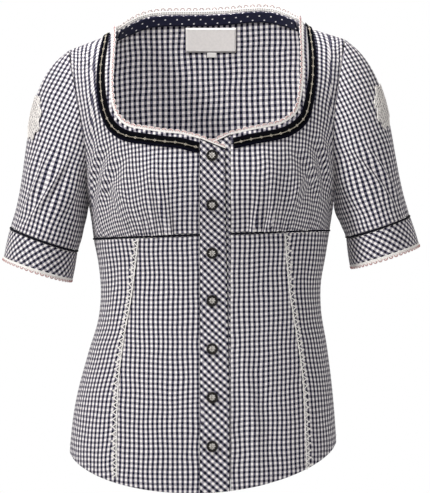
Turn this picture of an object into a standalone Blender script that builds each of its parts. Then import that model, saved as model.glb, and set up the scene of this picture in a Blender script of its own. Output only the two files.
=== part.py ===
"""Dirndl blouse in its worn form, built hollow from the pieces that a maker would cut and sew.

The origin lies midway between the two shoulder seams at the neck. +X is the wearer's left side,
the front faces -Y and +Z is up. Sizes in the tables are millimetres; meshes are metres.
The body's outer form is a function of an angle (-90 at the -X side, 0 at the centre, 90 at the
+X side) and a roll (negative on the front, 0 on the shoulder line, positive on the back).
"""
import math

import bmesh
import bpy
import numpy as np
from mathutils import Vector

MM = 0.001
COLLECTION = "dirndl_blouse"

# Cloth and seam sizes
CLOTH_WALL = 1.2
TRIM_WALL = 1.0
LACE_WALL = 0.8
SEAM_GAP = 0.35
SHOULDER_GAP = 1.5
SIDE_GAP = 1.0
INNER_LIFT = -2.15
LAYER_GAP = 0.5
PIPING_RADIUS = 1.5

# Rolled body form
TILT = 0.036
UNDERARM = -232.0
BELOW_UNDERARM = 220.0
UNDERBUST = -270.0
ROUNDNESS = 2.2
FRONT_SHOULDER = (2.2, 0.70)
BACK_SHOULDER = (3.0, 0.30)
SHOULDER_X = 126.0
SHOULDER_Z = -9.5
SHOULDER_SLOPE = 0.35
NECK_RISE = 80.0
BUST_FULLNESS = 9.0
BUST_PLACE = (74.0, -203.0)
BUST_SPREAD = (46.0, 42.0)

# Degrees of turn that are as long as one unit of roll
CELL_SCALE = 60.0

# Gathers above the seam under the bust
GATHER_COUNT = 9
GATHER_DEPTH = 2.3
GATHER_REACH = 60.0
GATHER_FROM = 48.0
GATHER_TO = 132.0

# Hem, shirt-tailed
HEM_SIDE = -538.0
HEM_FRONT_DROP = 52.0
HEM_BACK_DROP = 58.0
HEM_ROUNDNESS = 1.3

# Neckline trims, distances from the neck edge across the cloth
BACK_NECK_DEPTH = 53.0
BAND_SEAM = 10.8
RIBBON_INNER = 4.6
RIBBON_OUTER = 18.4
FACING_WIDTH = 15.0
NECK_STEPS = (26, 18, 26)
RIDGE_STATIONS = (NECK_STEPS[0], NECK_STEPS[0] + NECK_STEPS[1])
BAND_GAP = 1.3
RIBBON_LIFT = 1.9
RIDGE_LIFT = 3.1
PICOT_PITCH = 8.4
PICOT_NOTCH = 0.6

# Button band
PLACKET_LEFT = -10.2
LEFT_SEAM_X = -8.3
RIGHT_SEAM_X = 27.8
PLACKET_UNDER_RIGHT = 27.4
PLACKET_UNDER_LEFT = -4.0
OVERLAP_LIFT = 1.7
PLACKET_ROWS = 11
PLACKET_FIRST = -176.0
PLACKET_MIDDLE = -300.0
HEM_ROW = 12.0
TOP_BAND_CORNERS = (-152.0, -165.5)
UNDER_BAND_CORNERS = (-162.0, -148.0)

# Buttons
BUTTON_COUNT = 7
BUTTON_TOP = -173.0
BUTTON_PITCH = 59.9
BUTTON_X = 4.8
BUTTON_RADIUS = 7.2
BUTTON_HEIGHT = 3.4
BUTTON_SIDES = 12
BUTTON_LIFT = 0.7

# Piping under the bust
PIPING_STEPS = 20
PIPING_END_GAP = 0.5
SIDE_END_ANGLE = 89.6

# Laces
LACE_LEVELS = (-150.0, -100.0, -30.0, 15.0)
LACE_HEIGHTS = (4.8, 5.8, 6.5, 10.0)
LACE_HEM_LEVEL = -568.0
ZIGZAG_COUNT = 33
ZIGZAG_WIDE = 4.2
ZIGZAG_NARROW = 2.4
RIBBON_ENDS = (0.28, 0.06)

# Appliques, in degrees round the sleeve and shares of its length
APPLIQUE_TURN = 14.0
APPLIQUE_HALF_TURN = 19.0
APPLIQUE_SHARE = 0.40
APPLIQUE_HALF_SHARE = 0.125
APPLIQUE_POINTS = 16
APPLIQUE_SCALLOPS = 8
APPLIQUE_CLEARANCE = 0.6

# Sleeves and cuffs
ARMHOLE_STEPS = 11
SLEEVE_ROWS = 11
HEAD_OUT = 0.82
HEAD_DOWN = 0.57
UNDERARM_OUT = 0.22
UNDERARM_DOWN = 0.97
FRONT_SWELL = 0.24
CUFF_HALF_DEPTH = 60.0
CUFF_SAG = 2.5
CUFF_LACE_HEIGHT = 6.0
CUFF_PICOTS = 40

# Label on the inside of the back
LABEL_SIZE = (66.0, 31.0)
LABEL_CENTRE = (3.0, -14.5)
TAB_SIZE = (12.5, 6.0)
TAB_SHIFT = 1.0


def table(names, rows):
    """Named columns of a table."""
    return {name: np.array([row[i] for row in rows], float) for i, name in enumerate(names)}


TORSO = table(
    ("level", "half_width", "centre", "front", "back"),
    (
        (-605, 171.0, -7.0, 107, 114),
        (-540, 170.0, -7.0, 106, 112),
        (-475, 163.5, -5.5, 103, 104),
        (-415, 152.0, -1.3, 96, 90),
        (-370, 141.8, 1.7, 91, 80),
        (-338, 140.3, 2.9, 90, 78),
        (-302, 144.8, 4.5, 93, 81),
        (-270, 150.5, 4.0, 100, 87),
        (-232, 156.0, 4.5, 113, 95),
        (-180, 166.0, 3.0, 117, 100),
        (-120, 178.0, -0.5, 118, 101),
        (-60, 186.0, -2.0, 118, 96),
        (40, 192.0, -1.5, 118, 70),
    ),
)

ARMHOLE = table(
    ("level", "front", "back"),
    (
        (-28, 69.0, 69.0),
        (-45, 67.6, 67.2),
        (-75, 65.4, 65.4),
        (-120, 64.0, 65.0),
        (-165, 67.6, 68.6),
        (-203, 77.0, 77.5),
        (-222, 84.0, 84.0),
        (-229, 90.0, 90.0),
    ),
)

NECK_FRONT = table(
    ("step", "left_x", "left_level", "right_x", "right_level"),
    (
        (0, -8.3, -152.3, 27.8, -148.0),
        (1, -33.0, -145.0, 50.0, -143.5),
        (2, -54.0, -142.0, 75.0, -139.5),
        (3, -78.0, -137.5, 90.0, -136.0),
        (4, -96.0, -133.5, 102.0, -129.5),
        (5, -108.0, -126.5, 111.0, -120.0),
        (6, -116.0, -115.5, 115.0, -107.0),
        (7, -121.0, -100.0, 117.5, -93.0),
        (8, -123.5, -78.0, 119.5, -74.0),
        (9, -123.5, -52.0, 120.0, -50.0),
        (10, -122.3, -26.0, 119.8, -26.0),
    ),
)

PRINCESS = table(
    ("level", "left", "right"),
    (
        (-605, -116, 125),
        (-570, -116, 124.5),
        (-505, -116, 122),
        (-440, -113, 118),
        (-400, -108, 112),
        (-350, -99, 104),
        (-270, -89, 97),
    ),
)

PLACKET = table(
    ("level", "right"),
    (
        (-600, 26.0),
        (-490, 26.0),
        (-370, 24.0),
        (-270, 22.0),
        (-150, 20.6),
    ),
)

SLEEVE_NAMES = (
    "side", "underarm_stretch", "cuff_x", "cuff_z", "half_width", "lean", "end_x", "end_z",
    "end_half_width", "end_lean",
)
SLEEVES = (
    dict(zip(SLEEVE_NAMES, ("left", 1.00, -210.4, -275.8, 45.2, 19.2, -219.3, -316.5, 45.9, 18.0))),
    dict(zip(SLEEVE_NAMES, ("right", 1.06, 216.6, -259.4, 42.6, 18.7, 226.4, -299.2, 45.9, 18.2))),
)


def clear_scene():
    """Remove whatever the opened file holds."""
    for thing in list(bpy.data.objects):
        bpy.data.objects.remove(thing, do_unlink=True)


def read(rows, key, name, at):
    """Smooth curve through a table's rows, read at one or many places."""
    keys = rows[key]
    values = rows[name]
    slopes = np.gradient(values, keys)
    at = np.clip(at, keys[0], keys[-1]) if keys[0] < keys[-1] else np.clip(at, keys[-1], keys[0])
    rising = keys[0] < keys[-1]
    place = np.searchsorted(keys, at) if rising else np.searchsorted(-keys, -at)
    i = np.clip(place - 1, 0, len(keys) - 2)
    step = keys[i + 1] - keys[i]
    t = (at - keys[i]) / step
    from_left = (1 + 2 * t) * (1 - t) ** 2 * values[i] + t * (1 - t) ** 2 * step * slopes[i]
    to_right = t ** 2 * (3 - 2 * t) * values[i + 1] + t ** 2 * (t - 1) * step * slopes[i + 1]
    return from_left + to_right


def shoulder_line(x):
    """Level of the shoulder seam; it rises steeply where the neck begins."""
    far = np.abs(x)
    inside = np.clip(1 - (far / SHOULDER_X) ** 4, 0, 1) ** 1.27
    return SHOULDER_Z - SHOULDER_SLOPE * np.clip(far - SHOULDER_X, 0, None) + NECK_RISE * inside


def level_of(x, roll):
    height = 1 - roll ** 2
    return UNDERARM + height * np.where(height > 0, shoulder_line(x) - UNDERARM, BELOW_UNDERARM)


def roll_of(x, level, side):
    """Signed roll of a level; side is -1 on the front and 1 on the back."""
    above = level - UNDERARM
    height = above / np.where(above > 0, shoulder_line(x) - UNDERARM, BELOW_UNDERARM)
    return side * np.sqrt(np.clip(1 - height, 0, None))


def width_place(angle, level):
    """X of an angle at a level."""
    half_width = read(TORSO, "level", "half_width", level)
    return read(TORSO, "level", "centre", level) + half_width * np.sin(np.radians(angle))


def x_of(angle, roll):
    """Place across the body of an angle, found by a few rounds because the width varies with level."""
    x = 150 * np.sin(np.radians(angle))
    for _ in range(6):
        x = width_place(angle, level_of(x, roll))
    return x


def angle_of(x, roll):
    level = level_of(x, roll)
    share = (x - read(TORSO, "level", "centre", level)) / read(TORSO, "level", "half_width", level)
    return np.degrees(np.arcsin(np.clip(share, -1, 1)))


def surface(x, roll, angle):
    level = level_of(x, roll)
    sine = np.abs(np.sin(np.radians(angle)))
    fullness = (1 - sine ** ROUNDNESS) ** (1 / ROUNDNESS)
    height = np.clip(1 - roll ** 2, 0, 1)
    front_slope = (1 - height ** FRONT_SHOULDER[0]) ** FRONT_SHOULDER[1]
    back_slope = (1 - height ** BACK_SHOULDER[0]) ** BACK_SHOULDER[1]
    bust = np.exp(-(((np.abs(x - 4) - BUST_PLACE[0]) / BUST_SPREAD[0]) ** 2)
                  - ((level - BUST_PLACE[1]) / BUST_SPREAD[1]) ** 2)
    front = -(read(TORSO, "level", "front", level) + BUST_FULLNESS * bust) * fullness * front_slope
    back = read(TORSO, "level", "back", level) * fullness * back_slope
    y = np.where(roll < 0, front, back)
    return np.stack([x + 0 * y, y, level + TILT * x], axis=-1)


def body(angle, roll, lift=0.0):
    """Point of the body's form, lifted outward along its normal."""
    angle, roll, lift = np.broadcast_arrays(*(np.asarray(value, float) for value in (angle, roll, lift)))
    base = surface(x_of(angle, roll), roll, angle)
    if not np.any(lift):
        return base
    turn, slide = 0.2, 0.003
    inner = np.clip(angle, -89.7, 89.7)
    across, along = (
        surface(x_of(inner + a, roll + r), roll + r, inner + a)
        - surface(x_of(inner - a, roll - r), roll - r, inner - a)
        for a, r in ((turn, 0.0), (0.0, slide))
    )
    normal = np.cross(across, along)
    normal /= np.linalg.norm(normal, axis=-1, keepdims=True)
    return base + normal * lift[..., None]


def hem_level(angle, side):
    drop = HEM_FRONT_DROP if side < 0 else HEM_BACK_DROP
    return HEM_SIDE - drop * np.clip(np.cos(np.radians(angle)), 0, 1) ** HEM_ROUNDNESS


def resample(points, count, measured=3):
    """Rows spread evenly by length along a line; the first columns are its coordinates."""
    steps = np.linalg.norm(np.diff(points[:, :measured], axis=0), axis=1)
    run = np.concatenate([[0], np.cumsum(steps)])
    at = np.linspace(0, run[-1], count)
    return np.stack([np.interp(at, run, points[:, k]) for k in range(points.shape[1])], axis=1)


def settle(points):
    """Angle and roll of the body point nearest to each given point, keeping its X."""
    found = []
    for x, y, z in points:
        rolls = np.linspace(-1.3, 1.3, 521)
        for _ in range(3):
            across = np.full_like(rolls, x)
            line = surface(across, rolls, angle_of(across, rolls))
            best = int(np.argmin((line[:, 1] - y) ** 2 + (line[:, 2] - z) ** 2))
            width = rolls[1] - rolls[0]
            centre = rolls[best]
            rolls = np.linspace(centre - width, centre + width, 21)
        found.append((float(angle_of(np.array(x), np.array(centre))), centre))
    return np.array(found)


COLOURS = {
    "gingham": ((0.30, 0.29, 0.34), 0.85, 0.0),
    "bias": ((0.33, 0.32, 0.38), 0.85, 0.0),
    "velvet": ((0.012, 0.012, 0.02), 0.7, 0.0),
    "navy": ((0.02, 0.022, 0.05), 0.8, 0.0),
    "lace": ((0.86, 0.82, 0.78), 0.9, 0.0),
    "pewter": ((0.20, 0.19, 0.16), 0.4, 0.9),
    "label": ((0.62, 0.62, 0.62), 0.7, 0.0),
}


def material(name, colour, roughness, metallic):
    made = bpy.data.materials.new(name)
    made.use_nodes = True
    shader = made.node_tree.nodes["Principled BSDF"]
    shader.inputs["Base Color"].default_value = (*colour, 1.0)
    shader.inputs["Roughness"].default_value = roughness
    shader.inputs["Metallic"].default_value = metallic
    return made


def add_object(name, data, finish):
    thing = bpy.data.objects.new(name, data)
    parts.objects.link(thing)
    data.materials.append(material(name, *COLOURS[finish]))
    return thing


def thicken(thing, wall):
    solid = thing.modifiers.new("cloth wall", "SOLIDIFY")
    solid.thickness = wall * MM
    solid.offset = 0.0


def sheet(name, points, finish, wall=CLOTH_WALL, closed=False):
    """Cloth from a grid of points (rows, columns, xyz): an open surface with Solidify."""
    rows, columns = points.shape[:2]
    shape = bmesh.new()
    corners = [[shape.verts.new(Vector(points[r, c]) * MM) for c in range(columns)] for r in range(rows)]
    last = columns if closed else columns - 1
    for r in range(rows - 1):
        for c in range(last):
            n = (c + 1) % columns
            shape.faces.new((corners[r][c], corners[r][n], corners[r + 1][n], corners[r + 1][c]))
    bmesh.ops.recalc_face_normals(shape, faces=shape.faces[:])
    mesh = bpy.data.meshes.new(name)
    shape.to_mesh(mesh)
    shape.free()
    mesh.shade_smooth()
    thicken(add_object(name, mesh, finish), wall)


def cord(name, points, radius, finish, closed=False):
    """Round cord along points: a curve with a bevel."""
    curve = bpy.data.curves.new(name, "CURVE")
    curve.dimensions = "3D"
    curve.bevel_depth = radius * MM
    curve.bevel_resolution = 1
    curve.use_fill_caps = not closed
    spline = curve.splines.new("POLY")
    spline.points.add(len(points) - 1)
    for corner, point in zip(spline.points, points):
        corner.co = (*(Vector(point) * MM), 1.0)
    spline.use_cyclic_u = closed
    add_object(name, curve, finish)


def neck_edge():
    """Points of the neck edge in three runs: left front up, round the back, right front down."""
    steps = np.linspace(0, 10, 121)
    runs = []
    for hand in ("left", "right"):
        x = read(NECK_FRONT, "step", hand + "_x", steps)
        level = read(NECK_FRONT, "step", hand + "_level", steps)
        top = shoulder_line(x[-1:])
        x = np.append(x, x[-1])
        level = np.append(level, top)
        roll = roll_of(x, level, -1)
        runs.append(body(angle_of(x, roll), roll))
    x = np.linspace(0, 1, 181)
    left, right = runs[0][-1, 0], runs[1][-1, 0]
    x = (left + right) / 2 + (right - left) / 2 * np.sin(np.pi * (x - 0.5))
    reach = np.abs(x - (left + right) / 2) / ((right - left) / 2)
    level = shoulder_line(x) - BACK_NECK_DEPTH * (1 - reach ** 3)
    roll = roll_of(x, level, 1)
    back = body(angle_of(x, roll), roll)
    return runs[0], back, runs[1][::-1]


def neck_lines():
    """Stations on the neck edge and the direction across the cloth there, away from the neck."""
    runs = [resample(run, steps + 1) for run, steps in zip(neck_edge(), NECK_STEPS)]
    points = np.concatenate([runs[0], runs[1][1:], runs[2][1:]])
    places = settle(points)
    points = place_on_body(places)
    normal = place_on_body(places, 1.0) - points
    along = np.gradient(points, axis=0)
    along /= np.linalg.norm(along, axis=1, keepdims=True)
    away = np.cross(normal, along)
    for end in (0, -1):
        away[end] = (0.0, away[end, 1], away[end, 2])
        away[end] /= np.linalg.norm(away[end])
    return points, away


def place_on_body(places, lift=0.0):
    return body(places[..., 0], places[..., 1], lift)


def neck_row(distance):
    """Angle and roll of the line at one distance from the neck edge."""
    places = settle(NECK_POINTS + NECK_AWAY * distance)
    for station in RIDGE_STATIONS:
        places[station, 1] = 0.0
    return places


def armhole(side, stretch):
    """Angle and roll down the armhole seam from the shoulder, on the front and on the back."""
    sign = -1 if side == "left" else 1
    steps = np.arange(len(ARMHOLE["level"]), dtype=float)
    fine = np.linspace(0, steps[-1], 90)
    top = ARMHOLE["level"][0]
    halves = []
    for face, name in ((-1, "front"), (1, "back")):
        rows = {"step": steps, "level": ARMHOLE["level"], "angle": ARMHOLE[name]}
        level = top + (read(rows, "step", "level", fine) - top) * stretch
        angle = sign * read(rows, "step", "angle", fine)
        roll = roll_of(width_place(angle, level), level, face)
        roll[0] = 0.0
        places = np.column_stack([body(angle, roll), angle, roll])
        halves.append(resample(places, ARMHOLE_STEPS + 1, 3)[:, 3:])
    return halves


def between(line, at):
    """Points of a polyline at fractional station numbers."""
    index = np.arange(len(line))
    return np.stack([np.interp(at, index, line[:, k]) for k in range(line.shape[1])], axis=1)


def coons(bottom, top, left, right):
    """Grid of places inside four border lines; rows follow the left and right borders."""
    u = np.linspace(0, 1, len(bottom))[None, :, None]
    v = np.linspace(0, 1, len(left))[:, None, None]
    ruled = (1 - v) * bottom[None] + v * top[None] + (1 - u) * left[:, None] + u * right[:, None]
    corners = ((1 - u) * (1 - v) * bottom[0] + u * (1 - v) * bottom[-1]
               + (1 - u) * v * top[0] + u * v * top[-1])
    return ruled - corners


def relax(grid, rounds=300):
    """Even out the inner places of a grid; cells stay unfolded also round an inward corner."""
    scale = np.array([CELL_SCALE, 1.0])
    at = grid / scale
    for _ in range(rounds):
        across = (at[1:-1, 2:] - at[1:-1, :-2]) / 2
        down = (at[2:, 1:-1] - at[:-2, 1:-1]) / 2
        cross = (at[2:, 2:] - at[2:, :-2] - at[:-2, 2:] + at[:-2, :-2]) / 4
        wide = np.sum(across ** 2, axis=-1, keepdims=True)
        tall = np.sum(down ** 2, axis=-1, keepdims=True)
        skew = np.sum(across * down, axis=-1, keepdims=True)
        sides = tall * (at[1:-1, 2:] + at[1:-1, :-2]) + wide * (at[2:, 1:-1] + at[:-2, 1:-1])
        target = (sides - 2 * skew * cross) / (2 * (wide + tall))
        at[1:-1, 1:-1] += 0.7 * (target - at[1:-1, 1:-1])
    return at * scale


def front_places(x, level):
    """Angle and roll of places on the front."""
    x, level = np.broadcast_arrays(np.asarray(x, float), np.asarray(level, float))
    roll = roll_of(x, level, -1)
    return np.stack([angle_of(x, roll), roll], axis=-1)


def side_seam(sign, face, low, high, count):
    """Places down a side seam between two levels."""
    level = np.linspace(low, high, count)
    angle = np.full(count, sign * 90.0)
    return np.stack([angle, roll_of(width_place(angle, level), level, face)], axis=1)


def shoulder_seam(angle_from, angle_to, count):
    angle = np.linspace(angle_from, angle_to, count)
    return np.stack([angle, np.zeros(count)], axis=1)


def gather_columns(sign, inner_angle):
    """Angles of the columns along the seam under the bust, two to each gather."""
    start = sign * math.degrees(math.asin(GATHER_FROM / 150))
    stop = sign * math.degrees(math.asin(GATHER_TO / 150))
    plain = (NECK_STEPS[0] - 2 * GATHER_COUNT) // 2
    before = np.linspace(inner_angle, start, plain + 1)
    folds = np.linspace(start, stop, 2 * GATHER_COUNT + 1)
    after = np.linspace(stop, sign * 90.0, plain + 1)
    return np.concatenate([before, folds[1:], after[1:]]), plain


def front_upper(hand, sleeve_half, neck):
    """Bust panel: gathered at the bottom, the neckline is its top, the placket and armhole its sides."""
    sign = -1 if hand == "left" else 1
    seam_level = UNDERBUST + PIPING_RADIUS + SEAM_GAP
    bottom_x = LEFT_SEAM_X if hand == "left" else RIGHT_SEAM_X
    inner = front_places(bottom_x, seam_level)
    columns, plain = gather_columns(sign, inner[0])
    rows_side, rows_shoulder = 2, 2
    bottom = np.stack([columns, np.full_like(columns, inner[1])], axis=1)
    underarm = sleeve_half[-1]
    side = side_seam(sign, -1, seam_level, level_of(x_of(*underarm), underarm[1]), rows_side + 1)
    hole = sleeve_half[::-1]
    shoulder = shoulder_seam(hole[-1, 0], neck[-1, 0], rows_shoulder + 1)
    outer = np.concatenate([side, hole[1:], shoulder[1:]])
    left = np.linspace(inner, neck[0], len(outer))
    left[:, 0] = angle_of(np.linspace(bottom_x, x_of(*neck[0]), len(outer)), left[:, 1])
    places = relax(coons(bottom, neck, left, outer))
    lift = np.zeros(places.shape[:2])
    height = level_of(x_of(places[..., 0], places[..., 1]), places[..., 1]) - seam_level
    fade = np.clip(1 - height / GATHER_REACH, 0, 1) ** 1.3
    for fold in range(2 * GATHER_COUNT + 1):
        ridge = 1 if fold % 2 else -1
        size = GATHER_DEPTH / 2 * (1 + 0.25 * math.sin(2.1 * fold))
        lift[:, plain + fold] = ridge * size * fade[:, plain + fold]
    points = place_on_body(places, lift)
    points[:rows_side + 1, -1, 1] -= SIDE_GAP / 2
    points[-rows_shoulder - 1:, -1, 1] -= SHOULDER_GAP / 2
    sheet("front_upper_" + hand, points, "gingham")


def lower_panel(x_first, x_last, columns, rows):
    """Panel of the lower front between two seams, from under the bust to the hem."""
    share = np.linspace(0, 1, columns)[None, :]
    down = np.linspace(0, 1, rows)[:, None]
    start = UNDERBUST - PIPING_RADIUS - SEAM_GAP
    level = start + (HEM_SIDE - start) * down + 0 * share
    for _ in range(6):
        first = front_places(x_first(level), level)[..., 0]
        last = front_places(x_last(level), level)[..., 0]
        angle = first + (last - first) * share
        level = start + (hem_level(angle, -1) - start) * down
    return body(angle, roll_of(width_place(angle, level), level, -1))


def princess(hand, level):
    return read(PRINCESS, "level", hand, level)


def lower_front():
    for hand, sign, seam_x in (("left", -1, LEFT_SEAM_X), ("right", 1, RIGHT_SEAM_X)):
        shift = sign * SEAM_GAP / 2

        def placket_edge(level):
            return np.full_like(level, seam_x)

        def seam_inside(level):
            return princess(hand, level) - shift

        def seam_outside(level):
            return princess(hand, level) + shift

        def side_edge(level):
            return width_place(sign * 90.0, level)

        sheet("front_center_" + hand, lower_panel(placket_edge, seam_inside, 6, 14), "gingham")
        points = lower_panel(seam_outside, side_edge, 6, 14)
        points[:, -1, 1] -= SIDE_GAP / 2
        sheet("front_side_" + hand, points, "gingham")


def back_panel(left_half, right_half, neck):
    """Back in one piece: hem, side seams, armholes, shoulder seams and the back neck."""
    rows_side, rows_shoulder = 7, 2
    columns = 2 * rows_shoulder + len(neck)
    angle = np.linspace(-90, 90, columns)
    level = hem_level(angle, 1)
    bottom = np.stack([angle, roll_of(width_place(angle, level), level, 1)], axis=1)
    borders = []
    for sign, half in ((-1, left_half), (1, right_half)):
        underarm = half[-1]
        top = level_of(x_of(*underarm), underarm[1])
        side = side_seam(sign, 1, HEM_SIDE, top, rows_side + 1)
        borders.append(np.concatenate([side, half[::-1][1:]]))
    left_shoulder = shoulder_seam(left_half[0, 0], neck[0, 0], rows_shoulder + 1)
    right_shoulder = shoulder_seam(neck[-1, 0], right_half[0, 0], rows_shoulder + 1)
    top = np.concatenate([left_shoulder[:-1], neck, right_shoulder[1:]])
    points = place_on_body(relax(coons(bottom, top, *borders)))
    for column in (0, -1):
        points[:rows_side + 1, column, 1] += SIDE_GAP / 2
    points[-1, :rows_shoulder + 1, 1] += SHOULDER_GAP / 2
    points[-1, -rows_shoulder - 1:, 1] += SHOULDER_GAP / 2
    sheet("back", points, "gingham")


def sleeve_axes(sleeve, at_end):
    """Centre, outward cross direction, downward axis and half width of the cuff's top or bottom ring."""
    sign = -1 if sleeve["side"] == "left" else 1
    key = "end_" if at_end else ""
    lean = math.radians(sleeve[key + "lean"])
    place = "end_" if at_end else "cuff_"
    centre = np.array([sleeve[place + "x"], 0.0, sleeve[place + "z"]])
    outward = np.array([sign * math.cos(lean), 0.0, math.sin(lean)])
    axis = np.array([sign * math.sin(lean), 0.0, -math.cos(lean)])
    return centre, outward, axis, sleeve[key + "half_width"]


def cuff_ring(sleeve, turn, at_end, shift=0.0):
    """Points round the cuff's top or bottom; turn is 0 at the outer side and 90 at the front."""
    centre, outward, axis, half_width = sleeve_axes(sleeve, at_end)
    angle = np.radians(turn)[:, None]
    across = outward * np.cos(angle) * half_width
    depth = np.array([0.0, -1.0, 0.0]) * np.sin(angle) * CUFF_HALF_DEPTH
    sag = np.array([0.0, 0.0, -1.0]) * np.sin(angle) * CUFF_SAG
    return centre + across + depth + sag + axis * shift


def sleeve_start(halves):
    """Seam points round the armhole, their body normals, and the direction out of the body's cloth."""
    front, back = halves
    places = np.concatenate([front, back[-2:0:-1]])
    points = place_on_body(places)
    normal = place_on_body(places, 1.0) - points
    along = np.roll(points, -1, axis=0) - np.roll(points, 1, axis=0)
    along /= np.linalg.norm(along, axis=1, keepdims=True)
    out = np.cross(normal, along)
    middle = points.mean(axis=0)
    facing = np.sum(out * (middle - points), axis=1, keepdims=True)
    return points, normal, out * np.sign(facing)


def sleeve_points(sleeve, halves, rows):
    """Grid of the sleeve from the armhole to the cuff seam: a smooth curve for each station."""
    sign = -1 if sleeve["side"] == "left" else 1
    points, normal, out = sleeve_start(halves)
    count = len(points)
    turn = np.arange(count) * 360 / count
    head = (1 + np.cos(np.radians(turn))) / 2
    leave = np.stack([
        sign * (UNDERARM_OUT + (HEAD_OUT - UNDERARM_OUT) * head),
        -FRONT_SWELL * np.sin(np.radians(turn)),
        -(UNDERARM_DOWN + (HEAD_DOWN - UNDERARM_DOWN) * head),
    ], axis=1)
    leave /= np.linalg.norm(leave, axis=1, keepdims=True)
    turned_back = np.clip(-np.sum(leave * out, axis=1, keepdims=True), 0, 1)
    start = points + out * (CLOTH_WALL / 2 + SEAM_GAP) + normal * turned_back * (CLOTH_WALL + SEAM_GAP)
    end = cuff_ring(sleeve, turn, False, -(PIPING_RADIUS + SEAM_GAP))
    arrive = sleeve_axes(sleeve, False)[2]
    reach = np.linalg.norm(end - start, axis=1, keepdims=True)
    grid = []
    for t in np.linspace(0, 1, rows):
        grid.append((1 + 2 * t) * (1 - t) ** 2 * start + t * (1 - t) ** 2 * reach * leave
                    + t ** 2 * (3 - 2 * t) * end + t ** 2 * (t - 1) * reach * arrive)
    return np.stack(grid)


def grid_normals(grid):
    """Normals of a closed tube of points."""
    around = np.roll(grid, -1, axis=1) - np.roll(grid, 1, axis=1)
    down = np.gradient(grid, axis=0)
    normal = np.cross(around, down)
    normal /= np.linalg.norm(normal, axis=2, keepdims=True)
    outward = grid - grid.mean(axis=1, keepdims=True)
    return normal * np.sign(np.sum(normal * outward, axis=(1, 2), keepdims=True))


def tube_point(grid, normals, turn, share, lift):
    """Point over a tube at a turn (degrees) and a share of its rows, read between its grid points."""
    columns = grid.shape[1]
    c = (turn / 360 * columns) % columns
    r = np.clip(share * (grid.shape[0] - 1), 0, grid.shape[0] - 1 - 1e-6)
    c0, r0 = int(c), int(r)
    fc, fr = c - c0, r - r0
    c1 = (c0 + 1) % columns
    result = np.zeros(3)
    for row, column, weight in ((r0, c0, (1 - fr) * (1 - fc)), (r0, c1, (1 - fr) * fc),
                                (r0 + 1, c0, fr * (1 - fc)), (r0 + 1, c1, fr * fc)):
        result += weight * (grid[row, column] + normals[row, column] * lift)
    return result


def picot_rows(base, direction, heights):
    """Two-row grid: the straight edge of a lace and its tips, every other one notched."""
    notch = np.where(np.arange(len(base)) % 2, 1.0, PICOT_NOTCH)
    return np.stack([base, base + direction * (heights * notch)[:, None]])


def sleeve_set(sleeve, halves):
    """Sleeve, piping, cuff, cuff lace and lace applique of one side."""
    side = sleeve["side"]
    grid = sleeve_points(sleeve, halves, SLEEVE_ROWS)
    sheet("sleeve_" + side, grid, "gingham", closed=True)
    turn = np.arange(grid.shape[1]) * 360 / grid.shape[1]
    cord("cuff_piping_" + side, cuff_ring(sleeve, turn, False), PIPING_RADIUS, "navy", closed=True)
    top = cuff_ring(sleeve, turn, False, PIPING_RADIUS + SEAM_GAP)
    bottom = cuff_ring(sleeve, turn, True, -CUFF_LACE_HEIGHT)
    sheet("cuff_" + side, np.stack([top, (top + bottom) / 2, bottom]), "bias", closed=True)
    fine = np.arange(2 * CUFF_PICOTS) * 360 / (2 * CUFF_PICOTS)
    edge = np.concatenate([bottom, bottom[:1]])
    base = between(edge, fine / 360 * len(turn))
    axis = sleeve_axes(sleeve, True)[2]
    base = base + axis * SEAM_GAP
    lace = picot_rows(base, axis, np.full(len(base), CUFF_LACE_HEIGHT - SEAM_GAP))
    sheet("cuff_lace_" + side, lace, "lace", LACE_WALL, closed=True)
    applique(side, grid)


def applique(side, grid):
    """Leaf-shaped lace with a scalloped edge on the outer sleeve."""
    normals = grid_normals(grid)
    lift = CLOTH_WALL / 2 + LAYER_GAP + TRIM_WALL / 2 + APPLIQUE_CLEARANCE
    shape = bmesh.new()
    rings = []
    for ring in range(1, 4):
        corners = []
        for step in range(APPLIQUE_POINTS):
            angle = 2 * math.pi * step / APPLIQUE_POINTS
            scallop = 1 + 0.10 * math.cos(APPLIQUE_SCALLOPS * angle) * (ring == 3)
            turn = APPLIQUE_TURN + APPLIQUE_HALF_TURN * scallop * ring / 3 * math.cos(angle)
            share = APPLIQUE_SHARE + APPLIQUE_HALF_SHARE * scallop * ring / 3 * math.sin(angle)
            corners.append(shape.verts.new(Vector(tube_point(grid, normals, turn, share, lift)) * MM))
        rings.append(corners)
    centre = shape.verts.new(Vector(tube_point(grid, normals, APPLIQUE_TURN, APPLIQUE_SHARE, lift)) * MM)
    for step in range(APPLIQUE_POINTS):
        n = (step + 1) % APPLIQUE_POINTS
        shape.faces.new((centre, rings[0][step], rings[0][n]))
        for inner, outer in zip(rings, rings[1:]):
            shape.faces.new((inner[step], outer[step], outer[n], inner[n]))
    bmesh.ops.recalc_face_normals(shape, faces=shape.faces[:])
    mesh = bpy.data.meshes.new("applique_" + side)
    shape.to_mesh(mesh)
    shape.free()
    thicken(add_object("applique_" + side, mesh, "lace"), TRIM_WALL)


def bust_piping():
    """Piping in the seam under the bust, from the side seam to the button band."""
    for hand, sign, seam_x in (("left", -1, PLACKET_LEFT - PIPING_END_GAP),
                               ("right", 1, RIGHT_SEAM_X + PIPING_END_GAP)):
        start = front_places(seam_x, UNDERBUST)[0]
        angle = np.linspace(start, sign * SIDE_END_ANGLE, PIPING_STEPS)
        points = body(angle, roll_of(width_place(angle, UNDERBUST), UNDERBUST, -1))
        cord("bust_piping_" + hand, points, PIPING_RADIUS, "navy")


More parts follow.
